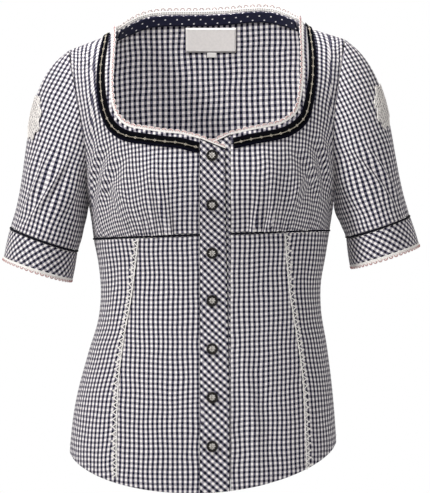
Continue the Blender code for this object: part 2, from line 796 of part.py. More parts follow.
def placket(name, left, right, top_left, top_right, lift):
    """Band from the neckline to the hem with a slanted top edge; left and right are functions of level."""
    share = np.linspace(0, 1, 3)
    upper = np.linspace(PLACKET_FIRST, PLACKET_MIDDLE, PLACKET_ROWS)
    lower = np.linspace(PLACKET_MIDDLE, HEM_SIDE - HEM_FRONT_DROP + HEM_ROW, PLACKET_ROWS)[1:]
    level = np.concatenate([upper, lower])[:, None] + 0 * share
    hem = level[-1:]
    level = np.concatenate([top_left + (top_right - top_left) * share[None, :], level, hem])
    for _ in range(6):
        x = left(level) + (right(level) - left(level)) * share
        places = front_places(x, level)
        level[-1] = hem_level(places[-1, :, 0], -1)
    sheet(name, place_on_body(places, lift), "bias")


def plackets():
    """The two button bands: the top one widens towards the hem, the under one lies in the cloth."""
    def top_left(level):
        return np.full_like(level, PLACKET_LEFT)

    def top_right(level):
        return read(PLACKET, "level", "right", level)

    def under_left(level):
        return np.full_like(level, PLACKET_UNDER_LEFT)

    def under_right(level):
        return np.full_like(level, PLACKET_UNDER_RIGHT)

    placket("placket_top", top_left, top_right, *TOP_BAND_CORNERS, OVERLAP_LIFT)
    placket("placket_under", under_left, under_right, *UNDER_BAND_CORNERS, 0.0)


def neck_trims():
    """Band, ribbon, inner facing and picot lace along the neck edge."""
    band = np.stack([neck_row(0.0), neck_row(BAND_SEAM / 2), neck_row(BAND_SEAM)])
    sheet("neck_band", place_on_body(band), "gingham")
    lift = np.full(len(NECK_POINTS), RIBBON_LIFT)
    lift[RIDGE_STATIONS[0]:RIDGE_STATIONS[0] + 4] = RIDGE_LIFT
    lift[RIDGE_STATIONS[1] - 3:RIDGE_STATIONS[1] + 1] = RIDGE_LIFT
    lines = np.stack([neck_row(distance) for distance in (RIBBON_INNER, BAND_SEAM, RIBBON_OUTER)])
    ribbon = place_on_body(lines, lift)
    first, last = RIBBON_ENDS
    at = np.concatenate([[first], np.arange(1, ribbon.shape[1] - 1), [ribbon.shape[1] - 1 - last]])
    sheet("ribbon", np.stack([between(row, at) for row in ribbon]), "velvet", TRIM_WALL)
    start, stop = RIDGE_STATIONS[0] + 2, RIDGE_STATIONS[1] - 2
    rows = [neck_row(FACING_WIDTH * share + SEAM_GAP)[start:stop + 1] for share in (0, 0.5, 1)]
    sheet("neck_facing", place_on_body(np.stack(rows), INNER_LIFT), "navy", LACE_WALL)
    neck_lace()


def neck_lace():
    """Picot lace on the neck edge; its ends run along the slanted tops of the two button bands."""
    band_right = float(read(PLACKET, "level", "right", TOP_BAND_CORNERS[1]))
    right_end, left_end = zip((band_right, PLACKET_LEFT), TOP_BAND_CORNERS[::-1])
    top_x, top_level = np.linspace(right_end, left_end, 5).T
    on_top = front_places(top_x, top_level)
    right_end, left_end = zip((PLACKET_UNDER_RIGHT, PLACKET_UNDER_LEFT), UNDER_BAND_CORNERS[::-1])
    under_x, under_level = np.linspace(right_end, left_end, 5).T
    under = front_places(under_x, under_level)
    edge = settle(NECK_POINTS)
    places = np.concatenate([on_top, edge[1:-1], under])
    lift = np.zeros(len(places))
    lift[:len(on_top)] = OVERLAP_LIFT
    lift[len(on_top)] = OVERLAP_LIFT / 2
    points = place_on_body(places, lift)
    normal = place_on_body(places, lift + 1.0) - points
    along = np.gradient(points, axis=0)
    up = -np.cross(normal, along)
    up /= np.linalg.norm(up, axis=1, keepdims=True)
    run = np.concatenate([[0], np.cumsum(np.linalg.norm(np.diff(points, axis=0), axis=1))])
    count = 2 * int(run[-1] / PICOT_PITCH) + 1
    at = np.interp(np.linspace(0, run[-1], count), run, np.arange(len(points)))
    base, up = between(points, at), between(up, at)
    level = base[:, 2] - TILT * base[:, 0]
    heights = np.interp(level, LACE_LEVELS, LACE_HEIGHTS)
    lace = picot_rows(base + up * SEAM_GAP, up, heights)
    sheet("neck_lace", lace, "lace", LACE_WALL)


def princess_lace():
    """Zigzag lace over the two seams of the lower front."""
    lift = CLOTH_WALL / 2 + LAYER_GAP + TRIM_WALL / 2
    for hand in ("left", "right"):
        level = np.linspace(UNDERBUST - PIPING_RADIUS - 1, LACE_HEM_LEVEL, 2 * ZIGZAG_COUNT + 1)
        middle = princess(hand, level)
        swing = np.where(np.arange(len(level)) % 2, ZIGZAG_WIDE, ZIGZAG_NARROW)
        rows = [middle - swing, middle + swing[::-1]]
        points = [place_on_body(front_places(row, level), lift) for row in rows]
        sheet("princess_lace_" + hand, np.stack(points), "lace", TRIM_WALL)


def button_profile():
    """Half section of a domed button with a raised rim, from the top middle down to the flat back."""
    return (
        (0.0, 0.80), (0.45, 0.72), (0.66, 0.60), (0.80, 1.00), (1.00, 0.55), (0.92, 0.0), (0.0, 0.0),
    )


def buttons():
    """Seven turned buttons on the top band, each facing out along the cloth's normal."""
    lift = OVERLAP_LIFT + CLOTH_WALL / 2 + BUTTON_LIFT
    for number in range(BUTTON_COUNT):
        place = front_places(BUTTON_X, BUTTON_TOP - BUTTON_PITCH * number)
        foot = place_on_body(place, lift)
        facing = Vector(place_on_body(place, lift + 1.0) - foot)
        mesh = bpy.data.meshes.new("button")
        mesh.from_pydata([(r * BUTTON_RADIUS * MM, 0, h * BUTTON_HEIGHT * MM) for r, h in button_profile()],
                         [(i, i + 1) for i in range(len(button_profile()) - 1)], [])
        button = add_object("button_" + str(number + 1), mesh, "pewter")
        turned = button.modifiers.new("turned", "SCREW")
        turned.steps = BUTTON_SIDES
        turned.render_steps = BUTTON_SIDES
        turned.use_merge_vertices = True
        turned.merge_threshold = 0.0001
        button.location = Vector(foot) * MM
        button.rotation_mode = "QUATERNION"
        button.rotation_quaternion = facing.to_track_quat("Z", "Y")


def label():
    """Plain woven label and size tab, sewn to the inside of the back below the facing."""
    tab_z = LABEL_CENTRE[1] - (LABEL_SIZE[1] + TAB_SIZE[1]) / 2 - SEAM_GAP
    plates = (
        ("label", LABEL_SIZE, LABEL_CENTRE),
        ("size_tab", TAB_SIZE, (LABEL_CENTRE[0] + TAB_SHIFT, tab_z)),
    )
    for name, size, centre in plates:
        x = centre[0] + size[0] * np.linspace(-0.5, 0.5, 5)[None, :] + np.zeros((3, 1))
        z = centre[1] + size[1] * np.linspace(-0.5, 0.5, 3)[:, None]
        roll = roll_of(x, z - TILT * x, 1)
        sheet(name, body(angle_of(x, roll), roll, INNER_LIFT), "label", LACE_WALL)


clear_scene()
parts = bpy.data.collections.new(COLLECTION)
bpy.context.scene.collection.children.link(parts)
NECK_POINTS, NECK_AWAY = neck_lines()
front_count, back_count = NECK_STEPS[0], NECK_STEPS[1]
seam_row = neck_row(BAND_SEAM + BAND_GAP)
holes = {sleeve["side"]: armhole(sleeve["side"], sleeve["underarm_stretch"]) for sleeve in SLEEVES}
front_upper("left", holes["left"][0], seam_row[:front_count + 1])
front_upper("right", holes["right"][0], seam_row[::-1][:front_count + 1])
lower_front()
back_panel(holes["left"][1], holes["right"][1], seam_row[front_count:front_count + back_count + 1])
for sleeve in SLEEVES:
    sleeve_set(sleeve, holes[sleeve["side"]])
bust_piping()
plackets()
neck_trims()
princess_lace()
buttons()
label()
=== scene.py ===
# %% [markdown]
# # A short-sleeved dirndl blouse, dressed piece by piece
# The blouse is shown in its worn form: hollow, buttoned and held at the shoulders. The file model.glb
# holds the plain construction solids. This script dresses them in cloth, lace, ribbon and metal. Sizes in
# the tables are millimetres; Blender's own unit here is the metre.

import math

import bpy
import numpy as np
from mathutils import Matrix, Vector


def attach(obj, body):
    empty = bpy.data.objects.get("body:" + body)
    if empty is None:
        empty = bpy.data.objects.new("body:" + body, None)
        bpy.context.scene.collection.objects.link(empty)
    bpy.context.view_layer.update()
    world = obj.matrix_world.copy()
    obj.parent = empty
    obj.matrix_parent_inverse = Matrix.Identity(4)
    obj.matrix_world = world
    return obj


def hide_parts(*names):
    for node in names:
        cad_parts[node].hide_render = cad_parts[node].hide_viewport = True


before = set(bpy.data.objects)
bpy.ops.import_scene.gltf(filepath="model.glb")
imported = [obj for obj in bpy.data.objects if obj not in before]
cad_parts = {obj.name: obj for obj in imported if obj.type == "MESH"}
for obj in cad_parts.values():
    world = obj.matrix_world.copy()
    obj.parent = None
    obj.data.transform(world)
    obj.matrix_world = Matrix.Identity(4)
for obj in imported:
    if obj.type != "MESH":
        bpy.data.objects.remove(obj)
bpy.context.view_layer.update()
MM = 0.001

# %% [markdown]
# ## Camera
# The photograph is a level front view from a few metres away. A camera could be placed by eye, but here
# its lens is worked out: the picture's height in pixels, times the millimetres that a pixel covers, has
# to fit at the distance of the blouse. A long lens keeps the perspective weak.

# %% Place the camera
PIXEL = 1.28
PHOTO_SIZE = (430, 493)
CAMERA_DISTANCE = 3200.0
CAMERA_X = 8.3
CAMERA_Z = -285.0
SENSOR = 36.0


def set_camera():
    lens = bpy.data.cameras.new("camera")
    lens.sensor_width = SENSOR
    lens.lens = SENSOR * CAMERA_DISTANCE / (max(PHOTO_SIZE) * PIXEL)
    camera = bpy.data.objects.new("camera", lens)
    bpy.context.scene.collection.objects.link(camera)
    camera.location = Vector((CAMERA_X, -CAMERA_DISTANCE, CAMERA_Z)) * MM
    camera.rotation_euler = (math.pi / 2, 0, 0)
    bpy.context.scene.camera = camera
    return camera


camera = set_camera()
print("lens", round(camera.data.lens, 1), "mm")

# %% [markdown]
# ## Light
# Large lamps give soft shadows. The key light from the upper left makes the folds readable, a weak fill
# opens the shadows on the right, and a rim light from behind parts the shoulders from the backdrop. A
# small lamp shines in at the neck, so that the inside of the back shows.

# %% Place the lights
MIDDLE = (0, 0, -0.3)
INSIDE_BACK = (0.0, 0.09, -0.09)


def soft_light(name, place, size, power, aim=MIDDLE):
    lamp = bpy.data.lights.new(name, "AREA")
    lamp.size = size
    lamp.energy = power
    light = bpy.data.objects.new(name, lamp)
    bpy.context.scene.collection.objects.link(light)
    light.location = place
    light.visible_camera = False
    light.rotation_euler = (Vector(aim) - Vector(place)).to_track_quat("-Z", "Y").to_euler()
    return light


soft_light("key", (-2.1, -1.6, 1.5), 0.5, 74)
soft_light("fill", (1.8, -2.2, 0.1), 1.6, 6)
soft_light("rim", (0.4, 2.0, 1.4), 1.2, 10)
soft_light("inside the neck", (0.0, -0.13, 0.26), 0.12, 1.6, aim=INSIDE_BACK)
print("lamps:", len(bpy.data.lights))

# %% [markdown]
# A white world is the softest studio there is: it lights the cloth from every side. One that is as bright
# as paper would wash the cloth out, so two are mixed. The camera sees plain white, and the cloth gets a
# dimmer light.

# %% Surround it with white
WORLD_LIGHT = 0.58


def white_studio():
    """A world that the camera sees as white paper, while its light on the cloth is softer."""
    world = bpy.data.worlds.new("white studio")
    world.use_nodes = True
    tree = world.node_tree
    light = tree.nodes["Background"]
    light.inputs["Strength"].default_value = WORLD_LIGHT
    paper = tree.nodes.new("ShaderNodeBackground")
    paper.inputs["Color"].default_value = (1, 1, 1, 1)
    light.inputs["Color"].default_value = (1, 1, 1, 1)
    chooser = tree.nodes.new("ShaderNodeMixShader")
    tree.links.new(tree.nodes.new("ShaderNodeLightPath").outputs["Is Camera Ray"], chooser.inputs["Fac"])
    tree.links.new(light.outputs[0], chooser.inputs[1])
    tree.links.new(paper.outputs[0], chooser.inputs[2])
    tree.links.new(chooser.outputs[0], tree.nodes["World Output"].inputs["Surface"])
    return world


bpy.context.scene.world = white_studio()
bpy.context.scene.view_settings.view_transform = "Standard"
print("light of the world:", WORLD_LIGHT)

# %% [markdown]
# The floor is a plain pale disc well below the hem, as under a dress form on its stand.

# %% Lay the floor
FLOOR_Z = -1.35
FLOOR_RADIUS = 2.2


def lay_floor():
    bpy.ops.mesh.primitive_circle_add(
        vertices=96, radius=FLOOR_RADIUS, fill_type="NGON", location=(0, 0, FLOOR_Z))
    floor = bpy.context.object
    floor.name = "floor"
    paint = bpy.data.materials.new("pale floor")
    paint.use_nodes = True
    shader = paint.node_tree.nodes["Principled BSDF"]
    shader.inputs["Base Color"].default_value = (0.86, 0.86, 0.86, 1)
    shader.inputs["Roughness"].default_value = 0.9
    floor.data.materials.append(paint)
    return floor


print("floor at", lay_floor().location.z, "m")

# %% [markdown]
# ## The worn form of the body
# Every panel lies on one smooth form: the shape that the cut, the bust and the shoulders give the
# cloth. It could be sculpted, but a formula is easier to keep in step with the construction solids.
# A point has an angle round the body (0 at the centre, 90 at the sides) and a roll (negative on the
# front, 0 along the shoulder, positive on the back). Short tables hold the widths and depths.

# %% Tables of the form
def table(names, rows):
    """Named columns of a table."""
    return {name: np.array([row[i] for row in rows], float) for i, name in enumerate(names)}


TORSO = table(("level", "half_width", "centre", "front", "back"), (
    (-605, 171.0, -7.0, 107, 114), (-540, 170.0, -7.0, 106, 112), (-475, 163.5, -5.5, 103, 104),
    (-415, 152.0, -1.3, 96, 90), (-370, 141.8, 1.7, 91, 80), (-338, 140.3, 2.9, 90, 78),
    (-302, 144.8, 4.5, 93, 81), (-270, 150.5, 4.0, 100, 87), (-232, 156.0, 4.5, 113, 95),
    (-180, 166.0, 3.0, 117, 100), (-120, 178.0, -0.5, 118, 101), (-60, 186.0, -2.0, 118, 96),
    (40, 192.0, -1.5, 118, 70),
))
TILT = 0.036
UNDERARM = -232.0
BELOW_UNDERARM = 220.0
UNDERBUST = -270.0
ROUNDNESS = 2.2
FRONT_SHOULDER = (2.2, 0.70)
BACK_SHOULDER = (3.0, 0.30)
SHOULDER_X = 126.0
SHOULDER_Z = -9.5
SHOULDER_SLOPE = 0.35
NECK_RISE = 80.0
BUST_FULLNESS = 9.0
BUST_PLACE = (74.0, -203.0)
BUST_SPREAD = (46.0, 42.0)
print("torso rows:", len(TORSO["level"]))

# %% [markdown]
# Between two rows of a table the form has to stay smooth, or the cloth would show a bend at every row. A
# cubic curve that leaves one row with its slope and arrives at the next with its slope does that. It is
# used again wherever a line has to be smooth.

# %% Read a table smoothly
def smooth(t, first, last, leave, arrive):
    """Cubic curve from first (t = 0) to last (t = 1) with the slopes leave and arrive."""
    rising = (1 + 2 * t) * (1 - t) ** 2 * first + t * (1 - t) ** 2 * leave
    return rising + t ** 2 * (3 - 2 * t) * last + t ** 2 * (t - 1) * arrive


def read(rows, key, name, at):
    """A table's column at one or many values of its key."""
    keys, values = rows[key], rows[name]
    if keys[0] > keys[-1]:
        keys, values = keys[::-1], values[::-1]
    slopes = np.gradient(values, keys)
    at = np.clip(at, keys[0], keys[-1])
    i = np.clip(np.searchsorted(keys, at) - 1, 0, len(keys) - 2)
    step = keys[i + 1] - keys[i]
    t = (at - keys[i]) / step
    return smooth(t, values[i], values[i + 1], step * slopes[i], step * slopes[i + 1])


print("half width at the waist:", round(float(read(TORSO, "level", "half_width", -350)), 1), "mm")

# %% [markdown]
# A pattern is drawn with X and a level, but the form is ruled by an angle and a roll. These functions
# turn one into the other. Some have no direct formula, because the width depends on the level and the
# level on X, so a few rounds of guessing settle them.

# %% Turn places into angles and rolls
SETTLING = 6


def shoulder_line(x):
    """Level of the shoulder seam; it rises steeply where the neck begins."""
    far = np.abs(x)
    inside = np.clip(1 - (far / SHOULDER_X) ** 4, 0, 1) ** 1.27
    return SHOULDER_Z - SHOULDER_SLOPE * np.clip(far - SHOULDER_X, 0, None) + NECK_RISE * inside


def level_of(x, roll):
    height = 1 - roll ** 2
    return UNDERARM + height * np.where(height > 0, shoulder_line(x) - UNDERARM, BELOW_UNDERARM)


def roll_of(x, level, side):
    """Signed roll of a level; side is -1 on the front and 1 on the back."""
    above = level - UNDERARM
    height = above / np.where(above > 0, shoulder_line(x) - UNDERARM, BELOW_UNDERARM)
    return side * np.sqrt(np.clip(1 - height, 0, None))


def width_place(angle, level):
    half_width = read(TORSO, "level", "half_width", level)
    return read(TORSO, "level", "centre", level) + half_width * np.sin(np.radians(angle))


def x_of(angle, roll):
    x = 150 * np.sin(np.radians(angle))
    for _ in range(SETTLING):
        x = width_place(angle, level_of(x, roll))
    return x


def angle_of(x, roll):
    level = level_of(x, roll)
    share = (x - read(TORSO, "level", "centre", level)) / read(TORSO, "level", "half_width", level)
    return np.degrees(np.arcsin(np.clip(share, -1, 1)))


def front_places(x, level):
    """Angle and roll of places on the front."""
    x, level = np.broadcast_arrays(np.asarray(x, float), np.asarray(level, float))
    roll = roll_of(x, level, -1)
    return np.stack([angle_of(x, roll), roll], axis=-1)


print("angle and roll at the bust:", front_places(*BUST_PLACE).round(2))

# %% [markdown]
# The section of the body is a rounded oval that closes towards the shoulders, with two soft swellings
# for the bust. Trims have to stand a little off the cloth, so a point can also be lifted along the
# normal, which is found from four points close by.

# %% Place a point on the form
def unit(vectors):
    return vectors / np.linalg.norm(vectors, axis=-1, keepdims=True)


def form_point(x, roll, angle):
    level = level_of(x, roll)
    sine = np.abs(np.sin(np.radians(angle)))
    fullness = (1 - sine ** ROUNDNESS) ** (1 / ROUNDNESS)
    height = np.clip(1 - roll ** 2, 0, 1)
    front_slope = (1 - height ** FRONT_SHOULDER[0]) ** FRONT_SHOULDER[1]
    back_slope = (1 - height ** BACK_SHOULDER[0]) ** BACK_SHOULDER[1]
    bust = np.exp(-(((np.abs(x - 4) - BUST_PLACE[0]) / BUST_SPREAD[0]) ** 2)
                  - ((level - BUST_PLACE[1]) / BUST_SPREAD[1]) ** 2)
    front = -(read(TORSO, "level", "front", level) + BUST_FULLNESS * bust) * fullness * front_slope
    back = read(TORSO, "level", "back", level) * fullness * back_slope
    y = np.where(roll < 0, front, back)
    return np.stack([x + 0 * y, y, level + TILT * x], axis=-1)


def body(angle, roll, lift=0.0):
    """Point of the form, lifted outward along its normal."""
    angle, roll, lift = np.broadcast_arrays(*(np.asarray(value, float) for value in (angle, roll, lift)))
    base = form_point(x_of(angle, roll), roll, angle)
    if not np.any(lift):
        return base
    turn, slide = 0.2, 0.003
    inner = np.clip(angle, -89.7, 89.7)
    across, along = (
        form_point(x_of(inner + a, roll + r), roll + r, inner + a)
        - form_point(x_of(inner - a, roll - r), roll - r, inner - a)
        for a, r in ((turn, 0.0), (0.0, slide))
    )
    return base + unit(np.cross(across, along)) * lift[..., None]


def on_body(places, lift=0.0):
    return body(places[..., 0], places[..., 1], lift)


print("bust point", on_body(front_places(*BUST_PLACE)).round(1))

# %% [markdown]
# ## Neckline
# The square neckline is drawn by a few rows of places from the button band up to the shoulder. Two small
# tools come with it: one spreads points evenly along a line, and one finds the place on the form that is
# nearest to a point in space.

# %% Table of the neckline and tools for lines
NECK_FRONT = table(("step", "left_x", "left_level", "right_x", "right_level"), (
    (0, -8.3, -152.3, 27.8, -148.0), (1, -33.0, -145.0, 50.0, -143.5), (2, -54.0, -142.0, 75.0, -139.5),
    (3, -78.0, -137.5, 90.0, -136.0), (4, -96.0, -133.5, 102.0, -129.5), (5, -108.0, -126.5, 111.0, -120.0),
    (6, -116.0, -115.5, 115.0, -107.0), (7, -121.0, -100.0, 117.5, -93.0), (8, -123.5, -78.0, 119.5, -74.0),
    (9, -123.5, -52.0, 120.0, -50.0), (10, -122.3, -26.0, 119.8, -26.0),
))
BACK_NECK_DEPTH = 53.0
NECK_STEPS = (26, 18, 26)
RIDGES = (NECK_STEPS[0], NECK_STEPS[0] + NECK_STEPS[1])


def resample(points, count):
    """Rows spread evenly by length along a line; the first three columns are its coordinates."""
    steps = np.linalg.norm(np.diff(points[:, :3], axis=0), axis=1)
    run = np.concatenate([[0], np.cumsum(steps)])
    at = np.linspace(0, run[-1], count)
    return np.stack([np.interp(at, run, points[:, k]) for k in range(points.shape[1])], axis=1)


def settle(points):
    """Angle and roll of the body point nearest to each given point, keeping its X."""
    found = []
    for x, y, z in points:
        rolls = np.linspace(-1.3, 1.3, 521)
        for _ in range(3):
            across = np.full_like(rolls, x)
            line = form_point(across, rolls, angle_of(across, rolls))
            best = int(np.argmin((line[:, 1] - y) ** 2 + (line[:, 2] - z) ** 2))
            width, middle = rolls[1] - rolls[0], rolls[best]
            rolls = np.linspace(middle - width, middle + width, 21)
        found.append((float(angle_of(np.array(x), np.array(middle))), middle))
    return np.array(found)


print("stations round the neck:", sum(NECK_STEPS) + 1)

# %% [markdown]
# The edge runs up the left front, round the back in a shallow curve and down the right front. All that
# trims the neck is measured from that line across the cloth, as a sewer would measure a ribbon's
# distance from the edge.

# %% Draw the neck edge and the lines beside it
def neck_edge():
    """The neck edge in three runs: left front up, round the back, right front down."""
    steps = np.linspace(0, 10, 121)
    runs = []
    for hand in ("left", "right"):
        x = read(NECK_FRONT, "step", hand + "_x", steps)
        level = read(NECK_FRONT, "step", hand + "_level", steps)
        level = np.append(level, shoulder_line(x[-1:]))
        x = np.append(x, x[-1])
        roll = roll_of(x, level, -1)
        runs.append(body(angle_of(x, roll), roll))
    left, right = runs[0][-1, 0], runs[1][-1, 0]
    x = (left + right) / 2 + (right - left) / 2 * np.sin(np.pi * (np.linspace(0, 1, 181) - 0.5))
    reach = np.abs(x - (left + right) / 2) / ((right - left) / 2)
    roll = roll_of(x, shoulder_line(x) - BACK_NECK_DEPTH * (1 - reach ** 3), 1)
    return runs[0], body(angle_of(x, roll), roll), runs[1][::-1]


def neck_lines():
    """Stations on the neck edge and the direction across the cloth there, away from the neck."""
    runs = [resample(run, steps + 1) for run, steps in zip(neck_edge(), NECK_STEPS)]
    places = settle(np.concatenate([runs[0], runs[1][1:], runs[2][1:]]))
    points = on_body(places)
    normal = on_body(places, 1.0) - points
    away = np.cross(normal, unit(np.gradient(points, axis=0)))
    for end in (0, -1):
        away[end] = unit(np.array((0.0, away[end, 1], away[end, 2])))
    return points, away


NECK_POINTS, NECK_AWAY = neck_lines()


def neck_row(distance):
    """Angle and roll of the line at one distance from the neck edge."""
    places = settle(NECK_POINTS + NECK_AWAY * distance)
    places[list(RIDGES), 1] = 0.0
    return places


neck_length = np.linalg.norm(np.diff(NECK_POINTS, axis=0), axis=1).sum()
print("neck edge is", round(neck_length), "mm long")

# %% [markdown]
# ## Armholes
# Each armhole is a seam from the shoulder down to the side seam. A short table gives its angle at a few
# levels on the front and on the back. The right one reaches a little lower, as on the blouse.

# %% Draw the armholes
ARMHOLE = table(("step", "level", "front", "back"), (
    (0, -28, 69.0, 69.0), (1, -45, 67.6, 67.2), (2, -75, 65.4, 65.4), (3, -120, 64.0, 65.0),
    (4, -165, 67.6, 68.6), (5, -203, 77.0, 77.5), (6, -222, 84.0, 84.0), (7, -229, 90.0, 90.0),
))
ARMHOLE_STEPS = 11
SIGN = {"left": -1, "right": 1}
UNDERARM_STRETCH = {"left": 1.00, "right": 1.06}


def armhole(hand):
    """Angle and roll down the armhole seam from the shoulder, on the front and on the back."""
    fine = np.linspace(0, ARMHOLE["step"][-1], 90)
    top = ARMHOLE["level"][0]
    halves = []
    for face, name in ((-1, "front"), (1, "back")):
        level = top + (read(ARMHOLE, "step", "level", fine) - top) * UNDERARM_STRETCH[hand]
        angle = SIGN[hand] * read(ARMHOLE, "step", name, fine)
        roll = roll_of(width_place(angle, level), level, face)
        roll[0] = 0.0
        places = np.column_stack([body(angle, roll), angle, roll])
        halves.append(resample(places, ARMHOLE_STEPS + 1)[:, 3:])
    return halves


holes = {hand: armhole(hand) for hand in SIGN}
print("armhole stations:", len(holes["left"][0]))

# %% [markdown]
# ## Cloth from a grid
# A panel is a grid of points between its seams. A coarse grid is drawn between the four border lines and
# evened out, so that no cell folds over. This is quicker to steer than a cloth simulation, and it gives
# the same panel every time.

# %% Draw a grid between seams
CELL_SCALE = 60.0


def coons(bottom, top, left, right):
    """Grid of places inside four border lines; rows follow the left and right borders."""
    u = np.linspace(0, 1, len(bottom))[None, :, None]
    v = np.linspace(0, 1, len(left))[:, None, None]
    ruled = (1 - v) * bottom[None] + v * top[None] + (1 - u) * left[:, None] + u * right[:, None]
    corners = ((1 - u) * (1 - v) * bottom[0] + u * (1 - v) * bottom[-1]
               + (1 - u) * v * top[0] + u * v * top[-1])
    return ruled - corners


def relax(grid, rounds=300):
    """Even out the inner places of a grid; cells stay unfolded also round an inward corner."""
    scale = np.array([CELL_SCALE, 1.0])
    at = grid / scale
    for _ in range(rounds):
        across = (at[1:-1, 2:] - at[1:-1, :-2]) / 2
        down = (at[2:, 1:-1] - at[:-2, 1:-1]) / 2
        cross = (at[2:, 2:] - at[2:, :-2] - at[:-2, 2:] + at[:-2, :-2]) / 4
        wide = np.sum(across ** 2, axis=-1, keepdims=True)
        tall = np.sum(down ** 2, axis=-1, keepdims=True)
        skew = np.sum(across * down, axis=-1, keepdims=True)
        sides = tall * (at[1:-1, 2:] + at[1:-1, :-2]) + wide * (at[2:, 1:-1] + at[:-2, 1:-1])
        target = (sides - 2 * skew * cross) / (2 * (wide + tall))
        at[1:-1, 1:-1] += 0.7 * (target - at[1:-1, 1:-1])
    return at * scale


evened = relax(np.stack(np.meshgrid(np.arange(4.0), np.arange(3.0)), axis=-1))
print("a square grid stays square:", bool(np.allclose(evened[1, 1], (1, 1))))

# %% [markdown]
# A smooth curve through the rows and then the columns of a coarse grid gives a fine one. It may turn
# sharply where the seam itself has a corner, such as at the underarm.

# %% Make a grid finer
def finer(rows, factor, corners=()):
    """Smooth curve through an array's rows, `factor` steps a row; corners stay sharp."""
    cuts = [0, *corners, len(rows) - 1]
    runs = []
    for first, last in zip(cuts, cuts[1:]):
        piece = rows[first:last + 1]
        slope = np.gradient(piece, axis=0)
        at = np.arange(factor * (last - first) + (last == cuts[-1])) / factor
        i = np.minimum(at.astype(int), last - first - 1)
        t = (at - i).reshape(-1, *[1] * (rows.ndim - 1))
        runs.append(smooth(t, piece[i], piece[i + 1], slope[i], slope[i + 1]))
    return np.concatenate(runs)


def finer_grid(grid, row_factor, column_factor, row_corners=(), column_corners=()):
    tall = finer(grid, row_factor, row_corners)
    return finer(tall.swapaxes(0, 1), column_factor, column_corners).swapaxes(0, 1)


print("a line of 3 rows made finer has", len(finer(np.zeros((3, 2)), 4)), "rows")

# %% [markdown]
# A piece of cloth is a mesh of that grid with a thin wall. It carries a UV map called "weave", in metres
# of cloth. That map is what lets the checks lean and close up where the cloth is gathered, as woven
# checks do.

# %% Make a piece of cloth
CLOTH = 0.6


def run_along(points, axis):
    """Length along a grid's rows (axis 1) or columns (axis 0), in millimetres."""
    steps = np.linalg.norm(np.diff(points, axis=axis), axis=-1)
    start = np.zeros_like(np.take(steps, [0], axis=axis))
    return np.concatenate([start, np.cumsum(steps, axis=axis)], axis=axis)


def quads(index):
    """Four-sided faces of a grid of point numbers, each as its four corners."""
    corners = (index[:-1, :-1], index[:-1, 1:], index[1:, 1:], index[1:, :-1])
    return np.stack(corners, axis=-1).reshape(-1, 4)


def shut(index):
    """A grid of point numbers that closes round into a tube."""
    return np.concatenate([index, index[:, :1]], axis=1)


def finish_piece(name, data, finish, nodes):
    piece = bpy.data.objects.new(name, data)
    bpy.context.scene.collection.objects.link(piece)
    data.materials.append(finish)
    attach(piece, "root")
    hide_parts(*nodes)
    return piece


def cloth(name, points, weave, finish, nodes, wall=CLOTH, closed=False):
    """Cloth from a grid of points and the weave map's values there, both in millimetres."""
    rows, columns = points.shape[:2]
    index = np.arange(rows * columns).reshape(rows, columns)
    mesh = bpy.data.meshes.new(name)
    faces = quads(shut(index) if closed else index)
    mesh.from_pydata((points.reshape(-1, 3) * MM).tolist(), [], faces.tolist())
    places = np.arange(weave.shape[0] * weave.shape[1]).reshape(weave.shape[:2])
    flat = weave.reshape(-1, 2)[quads(places)].reshape(-1, 2) * MM
    mesh.uv_layers.new(name="weave").data.foreach_set("uv", flat.astype(np.float32).ravel())
    mesh.shade_smooth()
    piece = finish_piece(name, mesh, finish, nodes)
    shell = piece.modifiers.new("cloth wall", "SOLIDIFY")
    shell.thickness = wall * MM
    shell.offset = 0.0
    return piece


print("cloth wall", CLOTH, "mm")

# %% [markdown]
# Piping, lace loops and stitches are round threads. A curve with a round bevel makes them from a line of
# points, and hundreds of short ones can share one curve object.

# %% Make threads and cords
def cords(name, lines, radius, finish, nodes, closed=False, resolution=1):
    """Round threads along lines of points, all in one curve object."""
    curve = bpy.data.curves.new(name, "CURVE")
    curve.dimensions = "3D"
    curve.bevel_depth = radius * MM
    curve.bevel_resolution = resolution
    curve.use_fill_caps = not closed
    for line in lines:
        spline = curve.splines.new("POLY")
        spline.points.add(len(line) - 1)
        flat = np.column_stack([np.asarray(line) * MM, np.ones(len(line))])
        spline.points.foreach_set("co", flat.astype(np.float32).ravel())
        spline.use_cyclic_u = closed
        spline.use_smooth = True
    return finish_piece(name, curve, finish, nodes)


print("threads are curves with a bevel, in units of", MM, "m")

# %% [markdown]
# ## Finishes
# Each material is built from a few shader nodes: a base colour, a pattern in the weave map or in
# space, and a little relief. Colours are written as seen on screen, 0 to 255, and turned into the
# linear values that the renderer adds up.

# %% Small tools for shader nodes
def seen(red, green, blue):
    """Linear colour of one seen on screen."""
    shares = [value / 255 for value in (red, green, blue)]
    return (*[s / 12.92 if s <= 0.04045 else ((s + 0.055) / 1.055) ** 2.4 for s in shares], 1.0)


def node(tree, kind, *inputs, **settings):
    """Add a shader node; inputs are values or other nodes' outputs, and None leaves one alone."""
    made = tree.nodes.new("ShaderNode" + kind)
    for key, value in settings.items():
        setattr(made, key, value)
    for socket, value in zip(made.inputs, inputs):
        if isinstance(value, bpy.types.NodeSocket):
            tree.links.new(value, socket)
        elif value is not None:
            socket.default_value = value
    return made.outputs[0]


def math_node(tree, operation, *inputs):
    return node(tree, "Math", *inputs, operation=operation)


